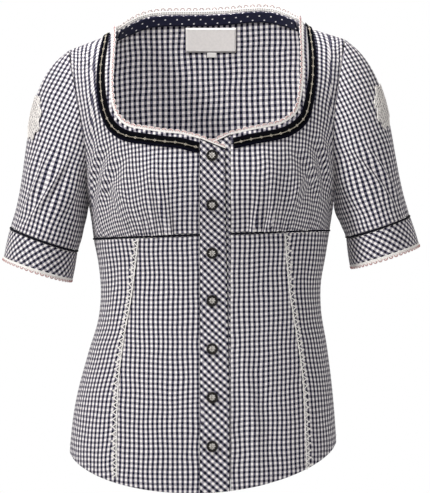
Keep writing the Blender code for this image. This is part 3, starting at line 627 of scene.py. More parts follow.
def new_finish(name, roughness, metallic=0.0, sheen=0.0, gloss=0.12):
    """A new material, its node tree and its main shader; textiles have little gloss."""
    finish = bpy.data.materials.new(name)
    finish.use_nodes = True
    shader = finish.node_tree.nodes["Principled BSDF"]
    shader.inputs["Roughness"].default_value = roughness
    shader.inputs["Metallic"].default_value = metallic
    shader.inputs["Sheen Weight"].default_value = sheen
    shader.inputs["Specular IOR Level"].default_value = gloss
    return finish, finish.node_tree, shader


def weave_map(tree):
    """The weave map and its two coordinates, across and down."""
    flat = node(tree, "UVMap", uv_map="weave")
    parts = tree.nodes.new("ShaderNodeSeparateXYZ")
    tree.links.new(flat, parts.inputs[0])
    return flat, parts.outputs[:2]


def waves(tree, kind, way, period):
    """A SINE or COSINE of one coordinate that repeats every `period` millimetres."""
    return math_node(tree, kind, math_node(tree, "MULTIPLY", way, 2 * math.pi / (period * MM)))


def space(tree):
    return tree.nodes.new("ShaderNodeTexCoord").outputs["Object"]


def noise(tree, where, scale, detail=2.0):
    made = tree.nodes.new("ShaderNodeTexNoise")
    tree.links.new(where, made.inputs["Vector"])
    made.inputs["Scale"].default_value = scale
    made.inputs["Detail"].default_value = detail
    return made.outputs["Fac"]


def relief(tree, shader, height, depth):
    """Fine relief, `depth` millimetres deep."""
    bump = tree.nodes.new("ShaderNodeBump")
    bump.inputs["Distance"].default_value = depth * MM
    bump.inputs["Strength"].default_value = 0.6
    tree.links.new(height, bump.inputs["Height"])
    tree.links.new(bump.outputs["Normal"], shader.inputs["Normal"])


def tinted(tree, shader, colour, where, scale, amount):
    """Join a colour to the shader, made a little uneven by soft noise."""
    cloud = noise(tree, where, scale, 3.0)
    shade = node(tree, "MapRange", cloud, 0.3, 0.7, 1 - amount, 1 + amount * 0.4)
    mixed = node(tree, "MixRGB", 1.0, colour, shade, blend_type="MULTIPLY")
    tree.links.new(mixed, shader.inputs["Base Color"])


print("mid grey 128 is", round(seen(128, 128, 128)[0], 3), "in linear light")

# %% [markdown]
# Gingham is woven from dyed and plain yarn in both directions. Where two dyed stripes cross the cloth
# is darkest, where two plain ones cross it is white, and elsewhere the yarns mix to grey. Two sine waves
# across the weave map give the two sets of stripes. The bias bands use the same cloth turned by 45
# degrees.

# %% Weave the checks
YARN = 0.45
DRIFT = (16.0, 6.0)
STRIPE_EDGES = (-0.26, 0.22)
DYED = (11, 11, 31)
WARP_ONLY = (98, 95, 111)
WEFT_ONLY = (162, 157, 165)
PLAIN = (238, 233, 230)


def woven_check(name, period, turned=False):
    """Gingham with one dyed and one plain stripe in each period (millimetres)."""
    finish, tree, shader = new_finish(name, 0.88, sheen=0.04)
    flat = node(tree, "UVMap", uv_map="weave")
    angle = math.radians(45 if turned else 0)
    pattern = node(tree, "VectorRotate", flat, None, None, angle, rotation_type="Z_AXIS")
    parts = tree.nodes.new("ShaderNodeSeparateXYZ")
    tree.links.new(pattern, parts.inputs[0])
    stripes, yarns = [], []
    for way, shift in zip(parts.outputs[:2], (0, 3)):
        moved = node(tree, "VectorMath", flat, (shift, 0, 0), operation="ADD")
        drift = noise(tree, moved, DRIFT[0], 1.5)
        wander = math_node(tree, "MULTIPLY_ADD", drift, DRIFT[1] * MM, way)
        wave = waves(tree, "SINE", wander, period)
        stripes.append(node(tree, "MapRange", wave, *STRIPE_EDGES, 0.0, 1.0))
        yarns.append(waves(tree, "SINE", way, YARN))
    warp, weft = stripes
    plain_weft = node(tree, "MixRGB", warp, seen(*PLAIN), seen(*WARP_ONLY))
    dyed_weft = node(tree, "MixRGB", warp, seen(*WEFT_ONLY), seen(*DYED))
    colour = node(tree, "MixRGB", weft, plain_weft, dyed_weft)
    tinted(tree, shader, colour, flat, 420.0, 0.16)
    relief(tree, shader, math_node(tree, "MULTIPLY", *yarns), 0.05)
    return finish


check = woven_check("gingham", 6.2)
sleeve_check = woven_check("gingham of the sleeves", 6.2)
bias_check = woven_check("gingham on the bias", 6.55, turned=True)
back_check = woven_check("gingham of the back", 7.4)
print("check finishes made, yarn pitch", YARN, "mm")

# %% [markdown]
# Velvet is dark because its pile stands up and swallows the light, so it is nearly black and hardly
# shines. Its woven edges are ribbed and a little bluer. The facing of the back neck is navy cotton with
# pin dots, which are the crests of two cosine waves multiplied.

# %% Velvet ribbon and dotted facing
RIBBON_WIDE = 13.8
DOT_PITCH = (15.4, 11.4)


def velvet_ribbon():
    finish, tree, shader = new_finish("velvet ribbon", 0.95, gloss=0.04)
    flat, (along, across) = weave_map(tree)
    inner = node(tree, "MapRange", across, 1.2 * MM, 0.8 * MM, 0.0, 1.0)
    far = (RIBBON_WIDE - 2.8) * MM
    outer = node(tree, "MapRange", across, far, far + 0.4 * MM, 0.0, 1.0)
    edge = math_node(tree, "MAXIMUM", inner, outer)
    colour = node(tree, "MixRGB", edge, seen(6, 6, 10), seen(10, 10, 24))
    tinted(tree, shader, colour, flat, 900.0, 0.35)
    ribs = math_node(tree, "MULTIPLY", waves(tree, "SINE", along, 0.8), edge)
    relief(tree, shader, math_node(tree, "ADD", ribs, noise(tree, flat, 2600.0)), 0.12)
    return finish


def dotted_cloth():
    """Navy cotton with white pin dots on a diagonal lattice."""
    finish, tree, shader = new_finish("dotted facing", 0.85, sheen=0.1)
    flat, ways = weave_map(tree)
    crests = [waves(tree, "COSINE", way, pitch) for way, pitch in zip(ways, DOT_PITCH)]
    dots = node(tree, "MapRange", math_node(tree, "MULTIPLY", *crests), 0.88, 0.94, 0.0, 1.0)
    colour = node(tree, "MixRGB", dots, seen(18, 19, 42), seen(226, 222, 224))
    tinted(tree, shader, colour, flat, 500.0, 0.2)
    relief(tree, shader, noise(tree, flat, 3000.0), 0.05)
    return finish


velvet = velvet_ribbon()
facing_cloth = dotted_cloth()
print("made", velvet.name, "and", facing_cloth.name)

# %% [markdown]
# The lace is white cotton with small holes. Real holes would need thousands of faces, so here they are
# dim spots of painted shade where two waves add up, and the same waves give the relief. The threads
# share one finish in different colours, a little uneven along their length.

# %% Lace and threads
def cotton_lace(name, pitch, tone, hole_shade, open_from):
    """White lace cloth with rows of small holes, painted as dim spots of shade."""
    finish, tree, shader = new_finish(name, 0.85, sheen=0.2)
    flat, ways = weave_map(tree)
    crests = [waves(tree, "COSINE", way, pitch) for way in ways]
    summed = math_node(tree, "ADD", *crests)
    # The holes are painted shade: where the waves add up, the lace takes the dim colour.
    shaded_holes = node(tree, "MapRange", summed, open_from, open_from + 0.5, 0.0, 0.9)
    colour = node(tree, "MixRGB", shaded_holes, seen(*tone), seen(*hole_shade))
    tinted(tree, shader, colour, flat, 260.0, 0.12)
    relief(tree, shader, math_node(tree, "MULTIPLY", *crests), 0.2)
    return finish


def thread(name, colour, uneven=0.15, sheen=0.12):
    finish, tree, shader = new_finish(name, 0.8, sheen=sheen)
    where = space(tree)
    tinted(tree, shader, seen(*colour), where, 600.0, uneven)
    relief(tree, shader, noise(tree, where, 3000.0), 0.1)
    return finish


# The last colour of each lace is the painted shade of its holes.
lace_cloth = cotton_lace("white lace", 3.0, (238, 234, 230), (96, 90, 96), 0.9)
net_lace = cotton_lace("grey-white net lace", 3.1, (222, 216, 210), (84, 80, 90), 0.1)
lace_thread = thread("white lace thread", (240, 236, 232))
pink_thread = thread("pink lace thread", (176, 96, 98), uneven=0.4)
beige_thread = thread("beige embroidery thread", (198, 188, 172))
navy_thread = thread("navy piping", (10, 11, 22), uneven=0.3, sheen=0.0)
grey_thread = thread("grey sewing thread", (128, 126, 138))
label_thread = thread("pale label thread", (214, 214, 214))
print("textile finishes made:", len(bpy.data.materials))

# %% [markdown]
# The buttons are cast metal with an antique finish: dark in the hollows and brighter where the raised
# flower is rubbed. Dark stain is mixed in by noise, and the brighter metal is kept for the petals. The
# label is woven satin with fine ribs.

# %% Antique metal and satin
def antique_metal(name, light, dark, roughness, metallic):
    finish, tree, shader = new_finish(name, roughness, metallic=metallic, gloss=0.5)
    where = space(tree)
    stain = node(tree, "MapRange", noise(tree, where, 700.0, 4.0), 0.35, 0.62, 0.0, 1.0)
    colour = node(tree, "MixRGB", stain, seen(*light), seen(*dark))
    tree.links.new(colour, shader.inputs["Base Color"])
    relief(tree, shader, noise(tree, where, 1600.0), 0.08)
    return finish


def woven_satin():
    finish, tree, shader = new_finish("satin label", 0.45, sheen=0.1, gloss=0.4)
    flat, (across, down) = weave_map(tree)
    tinted(tree, shader, seen(222, 217, 214), flat, 300.0, 0.06)
    relief(tree, shader, waves(tree, "SINE", down, 0.5), 0.04)
    return finish


dark_metal = antique_metal("antique pewter", (52, 48, 47), (14, 13, 13), 0.35, 0.7)
bright_metal = antique_metal("rubbed pewter", (255, 250, 244), (150, 143, 136), 0.3, 0.15)
satin = woven_satin()
print("made", dark_metal.name, "and", bright_metal.name, "and", satin.name)

# %% [markdown]
# ## Measuring cloth round the form
# A weave map needs lengths along the cloth. On the bust panels they are measured straight across and
# straight up over the form. On the simpler panels the threads run down the columns of the grid, and
# what is left of each step along a row is the distance across.

# %% Measure lengths for the weave map
PATH_POINTS = 24


def run_across(x, level, x_from, face):
    """Length over the form at one level, from x_from to x."""
    share = np.linspace(0, 1, PATH_POINTS)
    at = x_from + (x - x_from)[..., None] * share
    roll = roll_of(at, level[..., None], face)
    path = form_point(at, roll, angle_of(at, roll))
    return np.linalg.norm(np.diff(path, axis=-2), axis=-1).sum(axis=-1)


def run_up(x, level, level_from, face):
    """Length over the form up one X, from a level; it is negative below that level."""
    share = np.linspace(0, 1, PATH_POINTS)
    at = level_from + (level - level_from)[..., None] * share
    across = x[..., None] + 0 * at
    roll = roll_of(across, at, face)
    path = form_point(across, roll, angle_of(across, roll))
    length = np.linalg.norm(np.diff(path, axis=-2), axis=-1).sum(axis=-1)
    return np.sign(level - level_from) * length


def across_threads(points, down):
    """Distance across the threads along each row: what a step leaves beside its slip down them."""
    step = np.linalg.norm(np.diff(points, axis=1), axis=-1)
    slip = np.diff(down, axis=1)
    across = np.sqrt(np.clip(step ** 2 - slip ** 2, (0.3 * step) ** 2, None))
    return np.concatenate([0 * across[:, :1], np.cumsum(across, axis=1)], axis=1)


def straight_weave(points, origin=0):
    """Weave map of a grid whose columns follow the threads; `origin` is the column at 0."""
    down = run_along(points, 0)
    across = across_threads(points, down)
    return np.stack([across - across[:, origin:origin + 1], down], axis=-1)


def ease(value, start, stop):
    """Smooth step from 0 to 1."""
    t = np.clip((value - start) / (stop - start), 0, 1)
    return t * t * (3 - 2 * t)


bust_width = float(run_across(np.array(-150.0), np.array(-200.0), -8.3, -1))
print("bust panel is", round(bust_width), "mm wide over the form")

# %% [markdown]
# ## Folds
# Cotton in this blouse folds for three reasons: it is gathered into the seam under the bust, it is
# pulled towards the armholes, and it hangs loosely. The gathers are many short ridges that start at
# the seam and fade upward. Uneven ones look real, so chance places them, with a fixed seed that draws
# the same ones each time.

# %% Draw the gathers
def gathers(x, height, rows):
    """Ridges that rise from a seam; each row is a start, lean, bend, reach, width and height."""
    lift = np.zeros(np.broadcast(x, height).shape)
    up = np.clip(height, 0, None)
    for start, lean, bend, reach, width, size in rows:
        t = up / reach
        off = x - start - lean * up - bend * t * t
        wide = width * (1 + 0.9 * t)
        lift = lift + size * np.exp(-((off / wide) ** 2) - t ** 2)
    return lift


def gather_rows(seed, sign, count, low, high, lean):
    """Uneven gathers between two distances from the centre."""
    chance = np.random.default_rng(seed)
    rows = []
    for n in range(count):
        start = sign * (low + (high - low) * (n + 0.2 + 0.6 * chance.random()) / count)
        tilt = sign * lean * (0.6 + 0.8 * chance.random())
        reach = 22 + 40 * chance.random() ** 1.5
        rows.append((start, tilt, sign * 6 * (chance.random() - 0.4), reach,
                     1.6 + 1.3 * chance.random(), 2.0 + 1.8 * chance.random()))
    return rows


GATHERS = {
    "left": gather_rows(11, -1, 17, 44, 138, 0.18) + gather_rows(5, -1, 5, 60, 128, 0.3),
    "right": gather_rows(23, 1, 17, 50, 140, 0.18) + gather_rows(8, 1, 5, 66, 130, 0.3),
}
print("gathers:", len(GATHERS["left"]), "left,", len(GATHERS["right"]), "right")

# %% [markdown]
# The creases are single soft lines, seen from the front: two ends, a bend, a width and a height, which
# is negative for a trough. A crease also swallows a strip of the check, so the weave map slips across it.
# Sewing adds puckers, which are tiny ripples beside the stitches.

# %% Draw creases and puckers
def along_crease(x, z, x1, z1, x2, z2, bend):
    """Strength along a crease, from 0 at its ends to 1 halfway, and the distance off its line."""
    length = math.hypot(x2 - x1, z2 - z1)
    ax, az = (x2 - x1) / length, (z2 - z1) / length
    t = ((x - x1) * ax + (z - z1) * az) / length
    off = (z - z1) * ax - (x - x1) * az - bend * 4 * t * (1 - t)
    return np.sin(np.pi * np.clip(t, 0, 1)), off


def creases(x, z, rows):
    """Soft ridges and troughs; each row is two ends, a bend, a width and a height."""
    lift = np.zeros(np.broadcast(x, z).shape)
    for *line, width, size in rows:
        strength, off = along_crease(x, z, *line)
        lift = lift + size * strength * np.exp(-((off / width) ** 2))
    return lift


def tucks(x, z, rows, way):
    """How far creases swallow a check whose map grows along X (way 1) or against it (way -1)."""
    slip = np.zeros(np.broadcast(x, z).shape)
    for *line, width, size in rows:
        strength, off = along_crease(x, z, *line)
        near = np.exp(-((off / (5 * width)) ** 2))
        depth = way * np.sign(line[1] - line[3]) * abs(size)
        slip = slip + depth * near * np.tanh(off / width) * strength
    return slip


def seam_puckers(run, distance, pitch, size):
    """Tiny ripples beside a line of stitches."""
    wave = np.sin(2 * np.pi * run / pitch + 1.7 * np.sin(run / 23.0))
    return size * wave * np.exp(-((distance / (0.9 * pitch)) ** 2))


one_crease = (0, 10, 0, -10, 0, 2, 1.5)
print("a crease is", creases(0.0, 0.0, [one_crease]).round(2), "mm high halfway along")

# %% [markdown]
# These are the creases of the body. Those of the bust fan out from the armhole, as cloth does where it is
# pulled. The lower front hangs in a long fold by the button band and is drawn in at the waist. The back
# isn't seen, and gets similar ones.

# %% Place the creases of the body
BUST_CREASES = {
    "left": (
        (-132, -140, -150, -228, -5, 5, 2.6), (-122, -150, -142, -236, -7, 5, -2.4),
        (-112, -158, -136, -246, -9, 5, 2.4), (-102, -168, -126, -254, -9, 6, -1.8),
        (-148, -200, -104, -262, 9, 4, -1.8), (-140, -184, -96, -256, 10, 4, 1.6),
        (-92, -160, -110, -255, -6, 7, 1.5), (-60, -160, -78, -250, -4, 8, 1.2),
    ),
    "right": (
        (134, -136, 152, -224, 5, 5, 2.6), (124, -150, 144, -234, 7, 5, -2.4),
        (114, -160, 138, -244, 9, 5, 2.4), (104, -168, 128, -252, 9, 6, -1.8),
        (150, -196, 108, -260, -9, 4, -1.8), (142, -180, 100, -254, -10, 4, 1.6),
        (94, -160, 112, -253, 6, 7, 1.5), (64, -158, 82, -248, 4, 8, 1.2),
    ),
}
LOWER_CREASES = (
    (36, -400, 62, -600, 6, 8, 2.6), (58, -430, 84, -600, 5, 9, -1.8),
    (-70, -420, -60, -590, -4, 13, 0.9), (-120, -290, -128, -360, 3, 7, -1.7),
    (-134, -300, -118, -390, 6, 6, 1.6), (124, -290, 132, -365, -3, 7, -1.7),
    (136, -300, 120, -395, -6, 7, 1.0), (-40, -290, -34, -380, 2, 8, 0.6),
    (60, -290, 56, -372, -2, 8, 0.6), (-150, -480, -120, -560, 6, 12, 0.8),
    (146, -470, 118, -560, -6, 12, 0.8),
)
BACK_CREASES = (
    (-70, -190, -86, -330, -6, 10, 1.6), (78, -186, 92, -328, 6, 10, 1.6),
    (-20, -240, -26, -400, 3, 12, 1.0), (34, -250, 28, -410, -3, 12, -1.0),
    (-120, -300, -96, -380, 7, 8, 1.1), (126, -296, 104, -376, -7, 8, 1.1),
    (-60, -430, -70, -580, -5, 14, 1.2), (64, -430, 74, -580, 5, 14, 1.2),
    (-130, -150, -110, -230, 6, 8, -1.2), (134, -146, 116, -226, -6, 8, -1.2),
)
print("creases:", len(BUST_CREASES["left"]), "a bust panel,", len(LOWER_CREASES), "on the lower front")

# %% [markdown]
# ## The upper fronts
# Each bust panel runs from the button band to the armhole and up to the shoulder, and its top is the
# square neckline. Its grid has the seam under the bust as its foot, the button band on the inner side,
# and the side seam, the armhole and the shoulder on the outer side.

# %% Lay out a bust panel
SEAM_LEVEL = UNDERBUST + 1.85
SEAM_X = {"left": -8.3, "right": 27.8}
BAND_JOIN = 12.1
STEPS = 5


def side_seam(sign, face, low, high, count):
    level = np.linspace(low, high, count)
    angle = np.full(count, sign * 90.0)
    return np.stack([angle, roll_of(width_place(angle, level), level, face)], axis=1)


def shoulder_seam(angle_from, angle_to, count):
    angle = np.linspace(angle_from, angle_to, count)
    return np.stack([angle, np.zeros(count)], axis=1)


def bust_places(hand, half, neck):
    sign = SIGN[hand]
    inner = front_places(SEAM_X[hand], SEAM_LEVEL)
    columns = np.linspace(inner[0], sign * 90.0, NECK_STEPS[0] + 1)
    bottom = np.stack([columns, np.full_like(columns, inner[1])], axis=1)
    underarm = half[-1]
    side = side_seam(sign, -1, SEAM_LEVEL, level_of(x_of(*underarm), underarm[1]), 3)
    shoulder = shoulder_seam(half[0, 0], neck[-1, 0], 3)
    outer = np.concatenate([side, half[::-1][1:], shoulder[1:]])
    left = np.linspace(inner, neck[0], len(outer))
    left[:, 0] = angle_of(np.linspace(SEAM_X[hand], x_of(*neck[0]), len(outer)), left[:, 1])
    corners = (2, 2 + ARMHOLE_STEPS)
    return finer_grid(relax(coons(bottom, neck, left, outer)), STEPS + 1, STEPS, corners)


print("each bust panel joins the button band at X", SEAM_X)

# %% [markdown]
# The panel is then folded and its checks are laid out. The checks hang a little lower towards the side,
# lean outward on their way up, and close up where the cloth is gathered or creased. Near the border
# seams the folds die away, so that neighbouring pieces meet.

# %% Gather the bust panels
def bust_weave(x, level, hand, pulled, drawn):
    across = run_across(x, level, SEAM_X[hand], -1)
    up = run_up(x, level, SEAM_LEVEL, -1)
    lean = 0.2 * ease(across, 30, 170) * (215 - up)
    drawn_in = 0.35 * (np.clip(across, 35, 130) - 35) * np.exp(-np.clip(up, 0, None) / 35)
    t = np.clip((across - 30) / 110, 0, 1)
    droop = 0.35 * (110 * (t ** 3 - t ** 4 / 2) + np.clip(across - 140, 0, None))
    tucked = tucks(x, level, BUST_CREASES[hand], SIGN[hand])
    across = across + lean + drawn_in + tucked + 1.4 * drawn
    return np.stack([across, up + droop - 1.8 * pulled], axis=-1)


def bust_panel(hand, half, neck):
    places = bust_places(hand, half, neck)
    roll = places[..., 1]
    x = x_of(places[..., 0], roll)
    level = level_of(x, roll)
    height = level - SEAM_LEVEL
    drawn, pulled = gathers(x, height, GATHERS[hand]), creases(x, level, BUST_CREASES[hand])
    lift = drawn + pulled + seam_puckers(x, height, 6.0, 0.25)
    lift += 0.5 * np.sin(x / 19.0 + level / 37.0) * np.sin(level / 29.0 - 0.6)
    edges = ease(np.abs(x - SEAM_X[hand]), 0, 22) * ease(-roll, 0, 0.25)
    points = on_body(places, lift * edges - 0.25)
    flat = bust_weave(x, level, hand, pulled, drawn)
    return cloth("upper_front_" + hand, points, flat, check, ["front_upper_" + hand])


seam_row = neck_row(BAND_JOIN)
neck_seams = {"left": seam_row[:RIDGES[0] + 1], "right": seam_row[::-1][:NECK_STEPS[2] + 1]}
for hand, neck in neck_seams.items():
    panel = bust_panel(hand, holes[hand][0], neck)
    print(panel.name, "has", len(panel.data.polygons), "faces")

# %% [markdown]
# ## The lower front
# Two panels a side reach from the seam under the bust to the curved hem, with a princess seam between
# them. A panel is a grid between two seams. Its rows are spread from the seam under the bust to the hem,
# whose level depends on the angle, so a few rounds settle the two.

# %% Lay out the lower panels
PRINCESS = table(("level", "left", "right"), (
    (-605, -116, 125), (-570, -116, 124.5), (-505, -116, 122), (-440, -113, 118), (-400, -108, 112),
    (-350, -99, 104), (-270, -89, 97),
))
HEM_SIDE = -538.0
HEM_DROP = {-1: 52.0, 1: 58.0}
LOWER_START = UNDERBUST - 1.85


def hem_level(angle, face):
    return HEM_SIDE - HEM_DROP[face] * np.clip(np.cos(np.radians(angle)), 0, 1) ** 1.3


def princess(hand, level):
    return read(PRINCESS, "level", hand, level)


def lower_places(x_first, x_last, columns, rows):
    share = np.linspace(0, 1, columns)[None, :]
    down = np.linspace(0, 1, rows)[:, None]
    level = LOWER_START + (HEM_SIDE - LOWER_START) * down + 0 * share
    for _ in range(SETTLING):
        first = front_places(x_first(level), level)[..., 0]
        last = front_places(x_last(level), level)[..., 0]
        angle = first + (last - first) * share
        level = LOWER_START + (hem_level(angle, -1) - LOWER_START) * down
    return np.stack([angle, roll_of(width_place(angle, level), level, -1)], axis=-1)


print("the hem drops from", HEM_SIDE, "to", hem_level(0.0, -1), "mm at the front")

# %% [markdown]
# The centre panel's checks run true to the button band. The side panel is cut with the thread down its
# middle, so its checks meet the princess seam at a slant, as they do on the real blouse. Every seam has
# its row of puckers.

# %% Cut the lower panels
LOWER_GRID = (51, 141)


def lower_lift(places, seam_lines):
    x = x_of(places[..., 0], places[..., 1])
    level = level_of(x, places[..., 1])
    lift = creases(x, level, LOWER_CREASES) + seam_puckers(x, LOWER_START - level, 7.0, 0.3)
    lift += 0.6 * np.sin(x / 24.0 - level / 61.0) * np.sin(level / 43.0)
    for line in seam_lines:
        lift += seam_puckers(level, np.abs(x - line(level)), 9.0, 0.22)
    return lift * ease(LOWER_START - level, -1, 8)


def lower_panels(hand):
    sign = SIGN[hand]

    def placket_edge(level):
        return np.full_like(level, SEAM_X[hand])

    def seam(level):
        return princess(hand, level)

    def side_edge(level):
        return width_place(sign * 90.0, level)

    inner = lower_places(placket_edge, seam, *LOWER_GRID)
    keep = ease(np.abs(x_of(inner[..., 0], inner[..., 1]) - SEAM_X[hand]), 0, 14)
    points = on_body(inner, lower_lift(inner, [seam]) * keep)
    flat = straight_weave(points)
    cloth("lower_front_centre_" + hand, points, flat, check, ["front_center_" + hand])
    outer = lower_places(seam, side_edge, *LOWER_GRID)
    keep = ease(90.0 - np.abs(outer[..., 0]), 0, 9)
    points = on_body(outer, lower_lift(outer, [seam, side_edge]) * keep)
    flat = straight_weave(points, LOWER_GRID[0] // 2)
    cloth("lower_front_side_" + hand, points, flat, check, ["front_side_" + hand])
    return inner, outer


lower = {hand: lower_panels(hand) for hand in SIGN}
print("lower front rows:", lower["left"][0].shape[0])

# %% [markdown]
# ## The back
# The back is one piece. From the front only its inside shows, through the neck, but it is folded and
# finished all over, since the blouse may also be seen from behind.

# %% Cut the back
def back_places():
    neck = neck_row(BAND_JOIN)[RIDGES[0]:RIDGES[1] + 1]
    angle = np.linspace(-90, 90, 4 + len(neck))
    level = hem_level(angle, 1)
    bottom = np.stack([angle, roll_of(width_place(angle, level), level, 1)], axis=1)
    borders = []
    for hand, sign in SIGN.items():
        half = holes[hand][1]
        side = side_seam(sign, 1, HEM_SIDE, level_of(x_of(*half[-1]), half[-1, 1]), 8)
        borders.append(np.concatenate([side, half[::-1][1:]]))
    left = shoulder_seam(holes["left"][1][0, 0], neck[0, 0], 3)
    right = shoulder_seam(neck[-1, 0], holes["right"][1][0, 0], 3)
    top = np.concatenate([left[:-1], neck, right[1:]])
    return finer_grid(relax(coons(bottom, top, *borders)), 7, 7, (7,), (2, len(top) - 3))


def back_panel(places):
    x = x_of(places[..., 0], places[..., 1])
    level = level_of(x, places[..., 1])
    lift = creases(x, level, BACK_CREASES) + 0.7 * np.sin(x / 27.0 + 1.0) * np.sin(level / 51.0)
    lift *= ease(90.0 - np.abs(places[..., 0]), 0, 9) * ease(places[..., 1], 0, 0.3)
    across = np.sign(x) * run_across(x, level, 0.0, 1)
    flat = np.stack([across, run_up(x, level, -600.0, 1)], axis=-1)
    return cloth("back_panel", on_body(places, lift), flat, back_check, ["back"])


back = back_places()
panel = back_panel(back)
print(panel.name, "has", len(panel.data.polygons), "faces")

# %% [markdown]
# ## Sleeves
# A set-in sleeve ends in a cuff, an oval ring that leans outward. Two of its rings are enough: its top,
# where the sleeve joins it, and its end. The table gives each one's place, half width and lean.

# %% Place the rings of the cuffs
SLEEVE_SIZES = {
    "left": {"top": (-210.4, -275.8, 45.2, 19.2), "end": (-219.3, -316.5, 45.9, 18.0)},
    "right": {"top": (216.6, -259.4, 42.6, 18.7), "end": (226.4, -299.2, 45.9, 18.2)},
}
CUFF_HALF_DEPTH = 60.0
CUFF_SAG = 2.5
SEAM_ROLL = 1.85


def cuff_axes(hand, place):
    """Centre, outward direction, downward axis and half width of a ring of the cuff."""
    x, z, half_width, lean = SLEEVE_SIZES[hand][place]
    sign, lean = SIGN[hand], math.radians(lean)
    outward = np.array([sign * math.cos(lean), 0.0, math.sin(lean)])
    axis = np.array([sign * math.sin(lean), 0.0, -math.cos(lean)])
    return np.array([x, 0.0, z]), outward, axis, half_width


def cuff_ring(hand, turn, place, shift=0.0, wider=0.0):
    """Points round the cuff; turn is 0 at the outer side and 90 at the front."""
    centre, outward, axis, half_width = cuff_axes(hand, place)
    angle = np.radians(turn)[:, None]
    across = outward * np.cos(angle) * (half_width + wider)
    depth = np.array([0.0, -1.0, 0.0]) * np.sin(angle) * (CUFF_HALF_DEPTH + wider)
    sag = np.array([0.0, 0.0, -1.0]) * np.sin(angle) * CUFF_SAG
    return centre + across + depth + sag + axis * shift


print("the left cuff is", round(np.ptp(cuff_ring("left", np.arange(360.0), "end")[:, 0])), "mm wide")

# %% [markdown]
# The sleeve itself is a tube from the armhole to the cuff. Each station round the armhole leaves the body
# in its own direction and arrives straight down the cuff, and a smooth curve joins the two. At the
# underarm a sleeve turns back over its own seam, so it starts a little higher off the cloth there.

# %% Draw the sleeve tube
def sleeve_start(hand):
    """Points round the armhole, the body's normals there and the direction out of the body's cloth."""
    front, rear = holes[hand]
    places = np.concatenate([front, rear[-2:0:-1]])
    points = on_body(places)
    normal = on_body(places, 1.0) - points
    out = np.cross(normal, unit(np.roll(points, -1, axis=0) - np.roll(points, 1, axis=0)))
    facing = np.sum(out * (points.mean(axis=0) - points), axis=1, keepdims=True)
    return points, normal, out * np.sign(facing)


def sleeve_tube(hand, rows=11):
    points, normal, out = sleeve_start(hand)
    turn = np.arange(len(points)) * 360 / len(points)
    head = (1 + np.cos(np.radians(turn))) / 2
    forward = -0.24 * np.sin(np.radians(turn))
    leave = unit(np.stack([SIGN[hand] * (0.22 + 0.60 * head), forward, -(0.97 - 0.40 * head)], 1))
    turned_back = np.clip(-np.sum(leave * out, axis=1, keepdims=True), 0, 1)
    start = points + out * 0.95 + normal * turned_back * 1.55
    end = cuff_ring(hand, turn, "top", -SEAM_ROLL)
    arrive = cuff_axes(hand, "top")[2]
    reach = np.linalg.norm(end - start, axis=1, keepdims=True)
    t = np.linspace(0, 1, rows)[:, None, None]
    return smooth(t, start, end, reach * leave, reach * arrive)


def finer_tube(grid, row_factor, column_factor):
    """Finer grid of a closed tube."""
    wrapped = np.concatenate([grid[:, -3:], grid, grid[:, :4]], axis=1)
    first, last = 3 * column_factor, (3 + grid.shape[1]) * column_factor
    return finer_grid(wrapped, row_factor, column_factor)[:, first:last]


def tube_normals(grid):
    around = np.roll(grid, -1, axis=1) - np.roll(grid, 1, axis=1)
    normal = unit(np.cross(around, np.gradient(grid, axis=0)))
    outward = grid - grid.mean(axis=1, keepdims=True)
    return normal * np.sign(np.sum(normal * outward, axis=(1, 2), keepdims=True))


print("sleeve tube:", sleeve_tube("left").shape[:2], "points before it is made finer")

# %% [markdown]
# The threads of a sleeve run down its length. If the checks were laid round the head of the sleeve they
# would arch, so they are laid from the cuff upward: each step up the cloth is split into a part along
# the thread and a part across it. The map has one column more than the grid, for the seam under the arm.

def sleeve_weave(grid, normals, hand):
    """Weave map whose threads run along the sleeve, laid from the cuff up to the armhole."""
    axis = cuff_axes(hand, "top")[2]
    along = unit(axis - np.sum(normals * axis, axis=-1, keepdims=True) * normals)
    across = np.cross(normals, along)
    step = np.diff(grid, axis=0)
    way = np.sign(np.sum((np.roll(grid, -1, axis=1) - grid)[-1, 0] * across[-1, 0]))
    up = np.sum(step * (along[1:] + along[:-1]) / 2, axis=-1)
    slip = way * np.sum(step * (across[1:] + across[:-1]) / 2, axis=-1)
    base = run_along(shut(grid[-1:]), 1)[0]
    last = np.zeros((1, grid.shape[1]))
    up = np.concatenate([np.cumsum(up[::-1], axis=0)[::-1], last])
    slip = np.concatenate([np.cumsum(slip[::-1], axis=0)[::-1], last])
    up, slip = shut(up), shut(slip)
    return np.stack([base - base[len(base) // 2] - slip, up], axis=-1)


print("threads of the left sleeve run along", cuff_axes("left", "top")[2].round(2))

# %% [markdown]
# A tube that isn't a sleeve, such as a cuff, is simpler. Its map measures straight up from the end and
# round the tube from the middle of its front.

def tube_weave(grid):
    """Weave map of a closed tube with one more column than the grid, for the seam under the arm."""
    round_grid = shut(grid)
    from_end = run_along(round_grid[::-1], 0)[::-1]
    step = np.linalg.norm(np.diff(round_grid, axis=1), axis=-1)
    across = np.sqrt(np.clip(step ** 2 - np.diff(from_end, axis=1) ** 2, (0.3 * step) ** 2, None))
    across = np.concatenate([0 * across[:, :1], np.cumsum(across, axis=1)], axis=1)
    middle = across[:, across.shape[1] // 2, None]
    return np.stack([across - middle, from_end], axis=-1)


print("a map of the sleeve tube has", tube_weave(sleeve_tube("left")).shape[1], "columns")

# %% [markdown]
# Two long, narrow creases cross the front of each sleeve from the armhole down to the outer side of the
# cuff, with softer ones beside them. Similar creases cross the back. They die away at both ends, where
# the seams hold the cloth.

